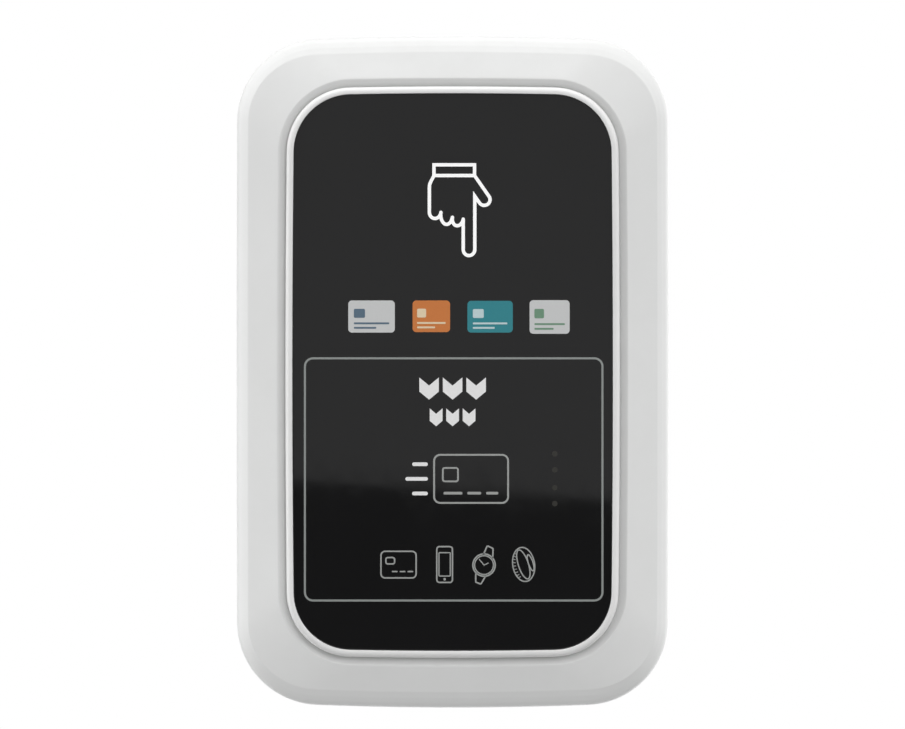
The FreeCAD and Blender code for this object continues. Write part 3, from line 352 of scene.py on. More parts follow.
def printed(name, edges, closed=True, layer=0):
    """Thin closed slab of ink between two edge lines (2, n, 2), standing on the glass.

    A layer more makes it a fifth thicker, so crossing strokes never share a face.
    """
    ink = bpy.context.scene.validator_sizes.ink
    left, right = edges
    low = np.full(len(left), -(GLASS_LEVEL - ink / 3 * (1 + 0.2 * layer)))
    high = np.full(len(left), -(GLASS_LEVEL + ink * (1 + 0.2 * layer)))
    section = [(left, low), (left, high), (right, high), (right, low)]
    points = np.stack([np.stack([edge[:, 0], depth, edge[:, 1]], axis=1)
                       for edge, depth in section], axis=1)
    return mesh_piece(name, points, wrap_rows=closed, caps=not closed, sharp=30)


def filled(name, path, lift=0.0):
    """Printed area inside a path: the path at two depths with a fan over each."""
    ink = bpy.context.scene.validator_sizes.ink
    depths = (-(GLASS_LEVEL - ink / 3), -(GLASS_LEVEL + ink + lift))
    points = np.stack([np.stack([path[:, 0], np.full(len(path), depth), path[:, 1]], axis=1)
                       for depth in depths])
    return mesh_piece(name, points, wrap_rows=False, caps=True, sharp=30)


def rectangle(left, right, bottom, top, radius):
    """Path round a rectangle with rounded corners."""
    corners = [(right, bottom), (right, top), (left, top), (left, bottom)]
    return rounded(np.array(corners) * MM, radius * MM)


def ellipse(x, z, half_width, half_height, tilt=0.0, steps=48):
    """Points (a cos t, b sin t), turned by the tilt in degrees and moved to the centre."""
    angle = np.linspace(0, 2 * math.pi, steps, endpoint=False)
    flat = np.stack([half_width * np.cos(angle), half_height * np.sin(angle)], axis=1)
    turn = math.radians(tilt)
    matrix = np.array([[math.cos(turn), math.sin(turn)], [-math.sin(turn), math.cos(turn)]])
    return (flat @ matrix + (x, z)) * MM


def joined(name, pieces):
    """One object from several printed pieces that share a material."""
    mesh = bpy.data.meshes.new(name)
    work = bmesh.new()
    for piece in pieces:
        old = piece.data
        work.from_mesh(old)
        bpy.data.objects.remove(piece)
        bpy.data.meshes.remove(old)
    work.to_mesh(mesh)
    work.free()
    return placed(name, mesh, 30)


def hand_lines():
    """Strokes of a pointing hand, as open lines that meet at the knuckles.

    Each curled finger hangs between two knuckles as x = middle - half cos t - lean sin t,
    z = line between the knuckles - drop sin t. The long finger ends in a half ellipse, and
    its stroke turns back at the root of the thumb, which ends in an arc of 186 degrees.
    """
    half_turn = np.linspace(0, math.pi, 14)
    knuckles = ((-6.91, 47.86), (-3.48, 47.5), (-0.06, 46.05), (3.16, 45.48))
    curls = []
    for (x0, z0), (x1, z1), drop, lean in zip(knuckles, knuckles[1:], (2.0, 2.76, 2.23),
                                              (0.22, 0.45, 0.38)):
        x = ((x0 + x1) / 2 - (x1 - x0) / 2 * np.cos(half_turn) - lean * np.sin(half_turn))
        z = z0 + (z1 - z0) * (1 - np.cos(half_turn)) / 2 - drop * np.sin(half_turn)
        curls.append(np.stack([x, z], axis=1))
    tip = np.stack([4.88 - 1.72 * np.cos(half_turn), 36.45 - 1.8 * np.sin(half_turn)], axis=1)
    thumb_turn = np.radians(np.linspace(-142, 44, 13))
    thumb = np.stack([9.42 + 1.72 * np.cos(thumb_turn), 51.3 + 1.72 * np.sin(thumb_turn)],
                     axis=1)
    back = np.array([(-5.54, 58.46), (-6.6, 56.4), (-6.86, 55.7), (-6.91, 54.8)])
    long_finger = np.concatenate([[knuckles[3]], tip, [(6.6, 52.33)], thumb, [(6.52, 58.46)]])
    lines = [np.concatenate([back, curls[0]]), curls[1], curls[2], long_finger]
    return [without_repeats(line * MM) for line in lines]


# ---- Materials ----

def new_group(name, inputs, outputs):
    """Empty shader group; inputs are (name, default), outputs are names of numbers."""
    group = bpy.data.node_groups.new(name, "ShaderNodeTree")
    for title, default in inputs:
        socket = group.interface.new_socket(title, in_out="INPUT", socket_type="NodeSocketFloat")
        socket.default_value = default
    for title in outputs:
        group.interface.new_socket(title, in_out="OUTPUT", socket_type="NodeSocketFloat")
    return group, group.nodes.new("NodeGroupInput"), group.nodes.new("NodeGroupOutput")


def add_node(tree, kind, settings=None, **values):
    """New node with its plain settings and the default values of its named sockets."""
    node = tree.nodes.new("ShaderNode" + kind)
    for name, value in (settings or {}).items():
        setattr(node, name, value)
    for name, value in values.items():
        node.inputs[name.replace("_", " ")].default_value = value
    return node


def number(tree, operation, first, second):
    """Math node; each operand is a socket or a plain number."""
    node = add_node(tree, "Math", {"operation": operation})
    for socket, value in zip(node.inputs, (first, second)):
        if isinstance(value, (int, float)):
            socket.default_value = value
        else:
            tree.links.new(value, socket)
    return node.outputs[0]


def noise(tree, place, **values):
    """Noise node that reads a place."""
    node = add_node(tree, "TexNoise", **values)
    tree.links.new(place, node.inputs["Vector"])
    return node


def spread(tree, value, low, high):
    """Map a value from low..high to 0..1 with soft ends."""
    node = add_node(tree, "MapRange", {"interpolation_type": "SMOOTHSTEP"}, From_Min=low,
                    From_Max=high)
    tree.links.new(value, node.inputs["Value"])
    return node.outputs["Result"]


def grain_group():
    """Fine moulded or cast texture: two noises, one a third of the other's size."""
    tree, start, end = new_group("surface_grain", [("Scale", 3000.0)], ["Height", "Tone"])
    place = add_node(tree, "TexCoord").outputs["Object"]
    coarse = noise(tree, place, Detail=3.0, Roughness=0.55)
    fine = noise(tree, place, Detail=2.0, Roughness=0.6)
    tree.links.new(start.outputs["Scale"], coarse.inputs["Scale"])
    tree.links.new(number(tree, "MULTIPLY", start.outputs["Scale"], 3.1), fine.inputs["Scale"])
    mixed = number(tree, "ADD", number(tree, "MULTIPLY", coarse.outputs["Fac"], 0.6),
                   number(tree, "MULTIPLY", fine.outputs["Fac"], 0.4))
    tree.links.new(mixed, end.inputs["Height"])
    tone = noise(tree, place, Scale=42.0, Detail=4.0, Roughness=0.6)
    tree.links.new(tone.outputs["Fac"], end.inputs["Tone"])
    return tree


def brush_group():
    """Brushed or drawn metal: noise stretched along one axis of the object."""
    tree, start, end = new_group("drawn_lines", [("Scale", 900.0), ("Stretch", 0.02)],
                                 ["Height", "Tone"])
    place = add_node(tree, "TexCoord").outputs["Object"]
    squeeze = add_node(tree, "CombineXYZ", X=1.0, Y=1.0)
    tree.links.new(start.outputs["Stretch"], squeeze.inputs["Z"])
    scaled = add_node(tree, "VectorMath", {"operation": "MULTIPLY"})
    tree.links.new(place, scaled.inputs[0])
    tree.links.new(squeeze.outputs[0], scaled.inputs[1])
    lines = noise(tree, scaled.outputs[0], Detail=4.0, Roughness=0.7)
    tree.links.new(start.outputs["Scale"], lines.inputs["Scale"])
    tree.links.new(lines.outputs["Fac"], end.inputs["Height"])
    tone = noise(tree, place, Scale=60.0, Detail=3.0)
    tree.links.new(tone.outputs["Fac"], end.inputs["Tone"])
    return tree


def dust_group():
    """Dust and handling marks: soft blotches, thicker where the surface faces up."""
    tree, start, end = new_group("settled_dust", [("Amount", 0.1)], ["Mask"])
    place = add_node(tree, "TexCoord").outputs["Object"]
    blotch = noise(tree, place, Scale=95.0, Detail=6.0, Roughness=0.65)
    normal = add_node(tree, "NewGeometry").outputs["Normal"]
    parts = add_node(tree, "SeparateXYZ")
    tree.links.new(normal, parts.inputs[0])
    upward = spread(tree, parts.outputs["Z"], -0.2, 1.0)
    weight = number(tree, "ADD", number(tree, "MULTIPLY", upward, 0.75), 0.25)
    mask = number(tree, "MULTIPLY", spread(tree, blotch.outputs["Fac"], 0.38, 0.72), weight)
    tree.links.new(number(tree, "MULTIPLY", mask, start.outputs["Amount"]), end.inputs["Mask"])
    return tree


def place_group(tree, group, **values):
    node = tree.nodes.new("ShaderNodeGroup")
    node.node_tree = group
    for name, value in values.items():
        node.inputs[name].default_value = value
    return node


def shader(name, **values):
    """Material with a Principled BSDF whose fixed values sit on its own sockets."""
    material = bpy.data.materials.new(name)
    material.use_nodes = True
    principled = material.node_tree.nodes["Principled BSDF"]
    for title, value in values.items():
        principled.inputs[title.replace("_", " ")].default_value = value
    return material, material.node_tree, principled


def mix_colours(tree, mask, first, second):
    """Mix two colours, each a socket or a plain triple, by a mask."""
    mix = add_node(tree, "Mix", {"data_type": "RGBA"})
    tree.links.new(mask, mix.inputs[0])
    for socket, value in zip([s for s in mix.inputs if s.type == "RGBA"], (first, second)):
        if isinstance(value, tuple):
            socket.default_value = (*value, 1.0)
        else:
            tree.links.new(value, socket)
    return [s for s in mix.outputs if s.type == "RGBA"][0]


def tint(tree, principled, mask, first, second):
    """Base colour that drifts between two colours by a mask."""
    tree.links.new(mix_colours(tree, mask, first, second), principled.inputs["Base Color"])


def gloss(tree, principled, mask, low, high):
    """Roughness that drifts between two values by a mask."""
    drift = add_node(tree, "MapRange", To_Min=low, To_Max=high)
    tree.links.new(mask, drift.inputs["Value"])
    tree.links.new(drift.outputs["Result"], principled.inputs["Roughness"])


def bump(tree, principled, height, distance):
    """Relief of the given depth from a height between 0 and 1."""
    node = add_node(tree, "Bump", Distance=distance)
    tree.links.new(height, node.inputs["Height"])
    tree.links.new(node.outputs["Normal"], principled.inputs["Normal"])


def shaded(shade, factor):
    """A colour made darker or lighter."""
    return tuple(part * factor for part in shade)


DUST = (0.42, 0.40, 0.36)
# Painted light: emission that makes the hand's ink brighter, though nothing in it is a lamp.
HAND_PAINTED_GLOW = 0.22
# Strength of the painted shade that darkens the casing's groove, standing in for the ring's shadow
# there.
GROOVE_PAINTED_SHADE = 0.27


def plastic(name, shade, roughness, groups, grain=3200.0, depth=0.02 * MM, dust=0.06,
            grime=0.0, **more):
    """Moulded plastic or rubber: fine grain, slight drift of tone, a little dust, and painted
    shade where the mesh's own attribute asks for it, darkening a recess as its shadow would."""
    material, tree, principled = shader(name, **more)
    texture = place_group(tree, groups["grain"], Scale=grain)
    settled = place_group(tree, groups["dust"], Amount=dust)
    toned = mix_colours(tree, texture.outputs["Tone"], shaded(shade, 0.955), shaded(shade, 1.03))
    # Painted shade: the colour is pulled towards 0.4 of itself where the attribute mask is set.
    if grime:
        hollow = add_node(tree, "Attribute", {"attribute_name": "hollow"}).outputs["Fac"]
        toned = mix_colours(tree, number(tree, "MULTIPLY", hollow, grime), toned,
                            shaded(shade, 0.4))
    tint(tree, principled, settled.outputs["Mask"], toned, DUST)
    gloss(tree, principled, texture.outputs["Tone"], roughness - 0.06, roughness + 0.06)
    bump(tree, principled, texture.outputs["Height"], depth)
    return material


def metal(name, shade, roughness, groups, scale=900.0, stretch=0.02, depth=0.01 * MM):
    """Drawn, turned or plated metal: fine lines in height and roughness."""
    material, tree, principled = shader(name, Metallic=1.0)
    lines = place_group(tree, groups["brush"], Scale=scale, Stretch=stretch)
    tint(tree, principled, lines.outputs["Tone"], shaded(shade, 0.88), shaded(shade, 1.06))
    gloss(tree, principled, lines.outputs["Height"], roughness - 0.09, roughness + 0.13)
    bump(tree, principled, lines.outputs["Height"], depth)
    return material


def powder_coat(name, shade, groups):
    """Powder coated steel: pebbled skin over the sheet."""
    return plastic(name, shade, 0.48, groups, grain=1100.0, depth=0.05 * MM, dust=0.14,
                   Coat_Weight=0.15, Coat_Roughness=0.3)


def circuit_board(name, groups):
    """Solder mask over tracks: a wandering track pattern lighter than the board."""
    material, tree, principled = shader(name, Coat_Weight=0.5, Coat_Roughness=0.15)
    place = add_node(tree, "TexCoord").outputs["Object"]
    cells = add_node(tree, "TexVoronoi", {"feature": "DISTANCE_TO_EDGE"}, Scale=310.0)
    tree.links.new(place, cells.inputs["Vector"])
    track = spread(tree, cells.outputs["Distance"], 0.06, 0.10)
    tint(tree, principled, track, (0.030, 0.210, 0.085), (0.010, 0.105, 0.040))
    texture = place_group(tree, groups["grain"], Scale=1500.0)
    gloss(tree, principled, texture.outputs["Tone"], 0.30, 0.45)
    bump(tree, principled, track, 0.03 * MM)
    return material


def printed_glass(name, shade, groups):
    """Black back-printed glass: faint smears in its gloss."""
    material, tree, principled = shader(name, IOR=1.5)
    smears = place_group(tree, groups["grain"], Scale=60.0)
    tint(tree, principled, smears.outputs["Tone"], shaded(shade, 0.9), shaded(shade, 1.15))
    gloss(tree, principled, spread(tree, smears.outputs["Height"], 0.4, 0.75), 0.02, 0.045)
    return material


def print_ink(name, shade, groups, glow=0.0):
    """Print seen under gloss: slight unevenness of the ink, the glass's own shine."""
    # Painted glow: emission that brightens the ink, not a lamp.
    material, tree, principled = shader(name, IOR=1.5, Emission_Color=(1.0, 1.0, 1.0, 1.0),
                                        Emission_Strength=glow)
    texture = place_group(tree, groups["grain"], Scale=2400.0)
    tint(tree, principled, texture.outputs["Height"], shaded(shade, 0.93), shaded(shade, 1.04))
    gloss(tree, principled, texture.outputs["Tone"], 0.05, 0.11)
    return material


def shared(name, make, *values, **more):
    """The material of that name, made once."""
    return bpy.data.materials.get(name) or make(name, *values, groups=shader_groups(), **more)


def shader_groups():
    """The shader groups, each built once."""
    makers = {"grain": ("surface_grain", grain_group), "brush": ("drawn_lines", brush_group),
              "dust": ("settled_dust", dust_group)}
    return {key: bpy.data.node_groups.get(name) or make()
            for key, (name, make) in makers.items()}


def colours():
    return bpy.context.scene.validator_colours


def casing_material():
    # The casing carries painted shade in its groove.
    return shared("white_casing", plastic, tuple(colours().casing), 0.46,
                  grime=GROOVE_PAINTED_SHADE)


def ring_material():
    return shared("white_ring", plastic, tuple(colours().ring), 0.38, grain=4200.0, dust=0.03)


def glass_material():
    return shared("black_glass_print", printed_glass, tuple(colours().glass))


def ink_material(name, shade=None):
    """Ink of a named colour or of the given shade; the hand's ink gets a painted glow that makes
    it brighter than its lighting.
    """
    return shared("ink_" + name, print_ink, shade or tuple(getattr(colours(), name)),
                  glow=HAND_PAINTED_GLOW if name == "hand_ink" else 0.0)


# ---- Pieces ----

class VALIDATOR_OT_front_cover(bpy.types.Operator):
    """Front shell: drafted side, rounded shoulder, sloping face, crest and groove"""
    bl_idname = "validator.front_cover"
    bl_label = "Front cover"

    def execute(self, context):
        sizes = context.scene.validator_sizes
        seam = 0.35 * MM
        face, band = sizes.face_inset, sizes.band_inset
        face_level, band_level = CREST_LEVEL - 2.95 * MM, CREST_LEVEL - 4.05 * MM
        side = on_case(np.concatenate([
            quarter((-seam, PARTING_LEVEL + seam), seam, -90, 0),
            bezier((-0.4 * MM, CREST_LEVEL - 7.5 * MM), (-0.42 * MM, CREST_LEVEL - 5.5 * MM),
                   (-band + 1.15 * MM, band_level - 0.9 * MM), (-band, band_level), 16)[:-1],
            facet((-band, band_level), (-face, face_level))]))
        part = np.concatenate([[0.014, 0.028], np.linspace(0.08, 1, 11)[:-1]])
        crest, brow_level = sizes.crest_offset + 0.35 * MM, CREST_LEVEL - 0.08 * MM
        slope = np.stack([part, np.full(len(part), -face), np.full(len(part), crest),
                          face_level + (brow_level - face_level) * part], axis=1)
        opening = sizes.ring_gap + sizes.ring_width - 0.01 * MM
        foot = (opening + 0.05 * MM, CREST_LEVEL - 1.25 * MM)
        rim = (sizes.crest_offset - 0.25 * MM, CREST_LEVEL - 0.12 * MM)
        inner_level, step_level = CREST_LEVEL - 5.5 * MM, CREST_LEVEL - 8.5 * MM
        groove = on_panel(np.concatenate([
            bezier((crest, brow_level),
                   (sizes.crest_offset + 0.1 * MM, CREST_LEVEL + 0.01 * MM),
                   (sizes.crest_offset - 0.05 * MM, CREST_LEVEL - 0.02 * MM), rim, 7)[:-1],
            bezier(rim, (rim[0] - 0.8 * MM, rim[1] - 0.3 * MM),
                   (foot[0] + 0.5 * MM, foot[1] + 0.55 * MM), foot, 8),
            [(opening, foot[1] - 0.05 * MM), (opening, inner_level)]]))
        inside = on_case([(-face - 1.5 * MM, inner_level), (-face - 1.5 * MM, step_level),
                          (-sizes.wall, step_level), (-sizes.wall, PARTING_LEVEL)])
        # Painted shade in the groove: full at the ring's foot, falling to nothing at the crest.
        shade_by_row = np.interp(groove[:, 2], (foot[0], rim[0] - 0.3 * MM, crest), (1.0, 0.7, 0.0))
        hollow = np.concatenate([np.zeros(len(side) + len(slope)), shade_by_row, np.zeros(len(inside))])
        piece = swept_section("front_shell", np.concatenate([side, slope, groove, inside]),
                              hollow)
        declare(piece, "casing_white", casing_material(), "front_cover")
        return {"FINISHED"}


class VALIDATOR_OT_bezel_ring(bpy.types.Operator):
    """Raised ring round the glass, with its ledge under the glass and its hidden flange"""
    bl_idname = "validator.bezel_ring"
    bl_label = "Ring round the glass"

    def execute(self, context):
        sizes = context.scene.validator_sizes
        inner = sizes.ring_gap
        outer = inner + sizes.ring_width
        ledge, shelf, shelf_back = -5.0 * MM, TAPE_BACK_LEVEL, TAPE_BACK_LEVEL - 1.5 * MM
        flange, flange_level = 4.6 * MM, BEZEL_BACK_LEVEL + 1.8 * MM
        bevel = 0.22 * MM
        shoulder = bezier((outer - 1.5 * MM, LIP_LEVEL), (outer - 0.7 * MM, LIP_LEVEL),
                          (outer - 0.3 * MM, LIP_LEVEL - 0.5 * MM),
                          (outer, LIP_LEVEL - 1.3 * MM), 14)
        section = np.concatenate([
            quarter((inner + bevel, LIP_LEVEL - bevel), bevel, 180, 90, 4),
            shoulder,
            [(outer, flange_level), (flange, flange_level), (flange, BEZEL_BACK_LEVEL),
             (inner, BEZEL_BACK_LEVEL), (inner, shelf_back), (ledge, shelf_back),
             (ledge, shelf), (inner, shelf)]])
        piece = swept_section("raised_ring", on_panel(section))
        declare(piece, "bezel_white", ring_material(), "bezel_ring")
        return {"FINISHED"}


class VALIDATOR_OT_front_glass(bpy.types.Operator):
    """Black glass: its outline drawn in to the middle, with ground edges"""
    bl_idname = "validator.front_glass"
    bl_label = "Front glass"

    def execute(self, context):
        panel, normal = outline("panel")
        ground = 0.25 * MM
        edge = np.concatenate([
            [(-0.6 * MM, GLASS_BACK_LEVEL), (0, GLASS_BACK_LEVEL + 0.2 * MM)],
            quarter((-ground, GLASS_LEVEL - ground), ground, 0, 90, 5)])
        flats = [(panel + change * normal, level) for change, level in edge]
        flats += [((panel - ground * normal) * share, GLASS_LEVEL)
                  for share in (0.998, 0.97, 0.66, 0.33, 0.02)]
        rings = [np.stack([flat[:, 0], np.full(len(flat), -level), flat[:, 1]], axis=1)
                 for flat, level in flats]
        piece = mesh_piece("glass_panel", np.stack(rings), wrap_rows=False, caps=True, sharp=30)
        declare(piece, "black_glass", glass_material(), "front_glass")
        return {"FINISHED"}


def finish_print(piece, shade_name, shade=None):
    """Print takes an ink of its own."""
    declare(piece, "black_glass", ink_material(shade_name, shade))


class VALIDATOR_OT_tap_zone(bpy.types.Operator):
    """Printed frame of the tap zone and the four status windows beside it"""
    bl_idname = "validator.tap_zone"
    bl_label = "Tap zone"

    def execute(self, context):
        frame_line = rectangle(-43.93, 44.57, -67.93, 4.1, 2.4)
        finish_print(ribbon("tap_zone_line", frame_line, 0.6 * MM), "line_ink")
        windows = [filled("window", ellipse(30.4, z, 0.82, 0.82, steps=28))
                   for z in (-24.3, -29.1, -34.4, -39.1)]
        finish_print(joined("status_windows", windows), "window")
        return {"FINISHED"}


def chevrons(count, pitch, half, drop, top, thickness):
    """Solid arrowheads pointing down in a row: a V with a notch of the same slope above."""
    pieces = []
    for index in range(count):
        x = (index - (count - 1) / 2) * pitch
        line = [(x - half, top), (x, top - drop), (x + half, top), (x + half, top - thickness),
                (x, top - drop - thickness), (x - half, top - thickness)]
        left, right = np.array(line[:3]) * MM, np.array(line[:2:-1]) * MM
        pieces.append(printed("arrow", np.stack([left, right]), closed=False))
    return pieces


class VALIDATOR_OT_hand(bpy.types.Operator):
    """Pointing hand with its cuff, and the arrows under it"""
    bl_idname = "validator.hand"
    bl_label = "Hand and arrows"

    def execute(self, context):
        width = context.scene.validator_sizes.stroke
        cuff = np.array([(6.52, 58.46), (6.52, 61.65), (-5.54, 61.65), (-5.54, 58.46)]) * MM
        strokes = [ribbon("stroke", line, width, closed=False, layer=index)
                   for index, line in enumerate(hand_lines())]
        strokes.append(ribbon("cuff", cuff, width, layer=len(strokes)))
        finish_print(joined("pointing_hand", strokes), "hand_ink")
        arrows = chevrons(3, 7.0, 2.9, 2.4, -1.6, 4.2) + chevrons(3, 4.9, 1.9, 1.6, -10.8, 3.7)
        finish_print(joined("down_arrows", arrows), "bright_ink")
        return {"FINISHED"}


# Left, right, bottom and top, then the colours of the plate and its marks.
CARD_PLATES = (
    (-31.03, -17.19, 11.75, 21.3, (0.62, 0.63, 0.63), (0.10, 0.16, 0.22)),
    (-11.9, -0.75, 11.9, 21.3, (0.62, 0.20, 0.05), (0.80, 0.66, 0.45)),
    (4.4, 17.9, 11.75, 21.2, (0.03, 0.24, 0.28), (0.55, 0.68, 0.70)),
    (22.9, 34.8, 11.4, 21.4, (0.62, 0.63, 0.63), (0.16, 0.30, 0.20)),
)


class VALIDATOR_OT_card_pictures(bpy.types.Operator):
    """Four plain card pictures in a row, each with a chip and two stripes"""
    bl_idname = "validator.card_pictures"
    bl_label = "Card pictures"

    def execute(self, context):
        lift = context.scene.validator_sizes.ink
        for index, (left, right, bottom, top, plate, mark) in enumerate(CARD_PLATES):
            card = filled("card_plate_%d" % index, rectangle(left, right, bottom, top, 1.1))
            finish_print(card, "plate_%d" % index, plate)
            width, height = right - left, top - bottom
            start, stripe = left + 0.12 * width, 0.55
            shapes = [rectangle(start, left + 0.36 * width,
                                bottom + 0.46 * height, bottom + 0.74 * height, 0.4)]
            for share, reach in ((0.26, 0.88), (0.12, 0.6)):
                z = bottom + share * height
                shapes.append(rectangle(start, left + reach * width, z, z + stripe, 0.2))
            marks = joined("card_marks_%d" % index,
                           [filled("mark", shape, lift=lift) for shape in shapes])
            finish_print(marks, "mark_%d" % index, mark)
        return {"FINISHED"}


class VALIDATOR_OT_icons(bpy.types.Operator):
    """Large card picture in the tap zone, and the card, phone, watch and band below"""
    bl_idname = "validator.icons"
    bl_label = "Icons"

    def execute(self, context):
        thin = context.scene.validator_sizes.thin_stroke
        large = [ribbon("edge", rectangle(-5.5, 16.5, -38.9, -24.6, 1.8), 0.54 * MM),
                 ribbon("chip", rectangle(-2.9, 1.6, -32.5, -28.5, 0.6), 0.5 * MM)]
        large += [filled("bar", rectangle(left, right, -36.4, -35.6, 0.3))
                  for left, right in ((-2.7, 2.9), (4.4, 8.5), (10.0, 13.6))]
        finish_print(joined("card_picture", large), "pale_ink")
        dashes = [np.array([(-7.9 - reach, z), (-7.9, z)]) * MM
                  for z, reach in ((-27.4, 3.6), (-31.75, 5.6), (-36.1, 3.6))]
        finish_print(joined("motion_dashes", [ribbon("motion", dash, 1.1 * MM, closed=False)
                                              for dash in dashes]), "bright_ink")

        card = [ribbon("card", rectangle(-21.3, -10.85, -61.2, -53.3, 1.2), thin),
                ribbon("chip", rectangle(-19.85, -17.25, -57.05, -55.15, 0.6), thin)]
        card += [filled("dash", rectangle(left, left + 1.7, -59.52, -59.1, 0.2))
                 for left in (-18.05, -15.73, -13.41)]
        finish_print(joined("icon_card", card), "pale_ink")

        phone = [ribbon("body", rectangle(-4.7, -0.05, -62.55, -51.9, 0.8), thin),
                 ribbon("screen", rectangle(-4.05, -0.7, -60.65, -53.7, 0.2), 0.8 * thin),
                 filled("button", ellipse(-2.38, -61.6, 0.36, 0.42, steps=16))]
        finish_print(joined("icon_phone", phone), "pale_ink")

        straps = (((9.2, -54.2), (10.3, -51.65), (12.05, -52.45), (11.9, -55.1)),
                  ((6.9, -60.0), (6.85, -62.45), (8.4, -63.05), (9.65, -60.95)))
        hands = np.array([(7.95, -55.7), (9.35, -57.4), (10.55, -56.8)]) * MM
        watch = [ribbon("rim", ellipse(9.35, -57.4, 3.32, 3.32), thin),
                 ribbon("dial", ellipse(9.35, -57.4, 2.8, 2.8), 0.8 * thin),
                 ribbon("hands", hands, 0.7 * thin, closed=False)]
        watch += [ribbon("strap", rounded(np.array(strap) * MM, 0.35 * MM, closed=False), thin,
                         closed=False) for strap in straps]
        finish_print(joined("icon_watch", watch), "pale_ink")

        loops = ((21.13, -57.2, 3.25, 5.1, 9.0), (21.05, -57.2, 1.5, 4.5, 18.0),
                 (23.2, -56.7, 0.7, 2.5, 18.0))
        band = [ribbon("loop", ellipse(*loop), 0.85 * thin, layer=index)
                for index, loop in enumerate(loops)]
        outside = ellipse(21.13, -57.2, 3.15, 4.95, tilt=9.0, steps=60)[22:40:2]
        inside = ellipse(21.13, -57.2, 2.35, 4.55, tilt=11.0, steps=60)[22:40:2]
        band += [ribbon("rib", np.stack([start, end]), 0.5 * thin, closed=False, layer=3)
                 for start, end in zip(outside, inside)]
        finish_print(joined("icon_band", band), "pale_ink")
        return {"FINISHED"}


# Finish of the material slots of CAD nodes: maker, colour, roughness and the rest.
SLOT_FINISHES = {
    "tape_black": (plastic, (0.020, 0.020, 0.020), 0.85, {"grain": 2600.0}),
    "seal_black": (plastic, (0.028, 0.028, 0.028), 0.70, {"grain": 2200.0}),
    "steel": (metal, (0.60, 0.59, 0.57), 0.32, {}),
    "brass": (metal, (0.72, 0.52, 0.23), 0.34, {"scale": 1500.0}),
    "chassis_grey": (plastic, (0.12, 0.12, 0.13), 0.55, {}),
    "copper": (metal, (0.70, 0.36, 0.20), 0.36, {"stretch": 0.4}),
    "ferrite": (plastic, (0.05, 0.05, 0.055), 0.80, {"grain": 1800.0}),
    "diode_white": (plastic, (0.82, 0.80, 0.66), 0.35, {"dust": 0.0}),
    "clear_plastic": (plastic, (0.72, 0.74, 0.74), 0.12, {"dust": 0.0, "depth": 0.004 * MM}),
    "tinned_steel": (metal, (0.66, 0.66, 0.64), 0.38, {"stretch": 0.3}),
    "chip_black": (plastic, (0.028, 0.028, 0.030), 0.62, {"grain": 2800.0}),
    "connector_beige": (plastic, (0.68, 0.63, 0.50), 0.50, {}),
    "terminal_green": (plastic, (0.035, 0.26, 0.11), 0.42, {}),
    "film_orange": (plastic, (0.52, 0.22, 0.04), 0.28, {"depth": 0.004 * MM}),
    "speaker_black": (plastic, (0.040, 0.040, 0.042), 0.58, {}),
    "gland_grey": (plastic, (0.23, 0.24, 0.25), 0.50, {"grain": 2400.0, "dust": 0.12}),
    "label_silver": (plastic, (0.58, 0.59, 0.60), 0.36, {"depth": 0.006 * MM}),
    "lock_chrome": (metal, (0.74, 0.74, 0.75), 0.16, {"stretch": 0.2, "depth": 0.003 * MM}),
}


class VALIDATOR_OT_cad_finishes(bpy.types.Operator):
    """Gives every CAD node the finish of its material slot"""
    bl_idname = "validator.cad_finishes"
    bl_label = "Finishes of the CAD parts"

    def execute(self, context):
        ready = {
            "casing_white": casing_material(),
            "bezel_white": ring_material(),
            "black_glass": glass_material(),
            "board_green": shared("circuit_board", circuit_board),
            "plate_steel": shared("powder_coat", powder_coat, (0.30, 0.31, 0.32)),
        }
        for slot, (make, shade, roughness, more) in SLOT_FINISHES.items():
            ready[slot] = shared(slot + "_finish", make, shade, roughness, **more)
        for part in frame["record"]["subparts"]:
            mesh = frame["nodes"][part["node"]].data
            for index in range(len(mesh.materials)):
                mesh.materials[index] = ready[part["material_slot"]]
        return {"FINISHED"}


# ---- Stage ----

CAMERA_DISTANCE = 5.0
FRAME_WIDTH = 269.545 * MM
CAMERA_PLACE = (-0.03 * MM, 2.26 * MM)
AIM_LEVEL = 46.0 * MM
FLOOR_HEIGHT, FLOOR_RADIUS, FLOOR_SHADE = -0.35, 3.0, (0.56, 0.56, 0.56)
PANEL_DISTANCE, PANEL_LOW_EDGE, PANEL_SIZE = 2.6, -52.0 * MM, (3.6, 2.2)
PANEL_POWER, PANEL_ROLL = 11.5, -3.6


def mirrored_light():
    """Rectangular light in front of the object, rolled a little about its own axis.

    The glass mirrors it down to its low edge. The camera and rough surfaces don't see it.
    """
    light = bpy.data.lights.new("panel", "AREA")
    light.shape = "RECTANGLE"
    light.size, light.size_y = PANEL_SIZE
    light.energy = PANEL_POWER
    lamp = bpy.data.objects.new("panel", light)
    lamp.location = (0, -PANEL_DISTANCE, PANEL_LOW_EDGE + PANEL_SIZE[1] / 2)
    level = Vector((0, 1, 0)).to_track_quat("-Z", "Y")
    turned = level @ Quaternion((0, 0, 1), math.radians(PANEL_ROLL))
    lamp.rotation_euler = turned.to_euler()
    lamp.visible_camera = lamp.visible_diffuse = False
    bpy.context.collection.objects.link(lamp)


# Bright directions round the object and the strength of the glow there, which starts where
# the cosine of a ray to the direction passes the start.
GLOW_START = 0.7
GLOWS = (
    ((0.0, 1.0, 0.0), 0.81), ((1.0, 0.0, 0.0), 0.78), ((-1.0, 0.0, 0.0), 1.92),
    ((0.0, 0.0, 1.0), 1.62), ((0.0, 0.0, -1.0), 0.13), ((1.0, 1.0, 0.0), 1.40),
    ((0.0, 1.0, -1.0), 0.79), ((1.0, 0.0, 1.0), 0.27), ((-1.0, 0.0, 1.0), 1.10),
    ((0.0, -1.0, -1.0), 1.25), ((1.0, -0.8, 1.0), 1.95), ((-1.0, -0.8, 1.0), 0.76),
)


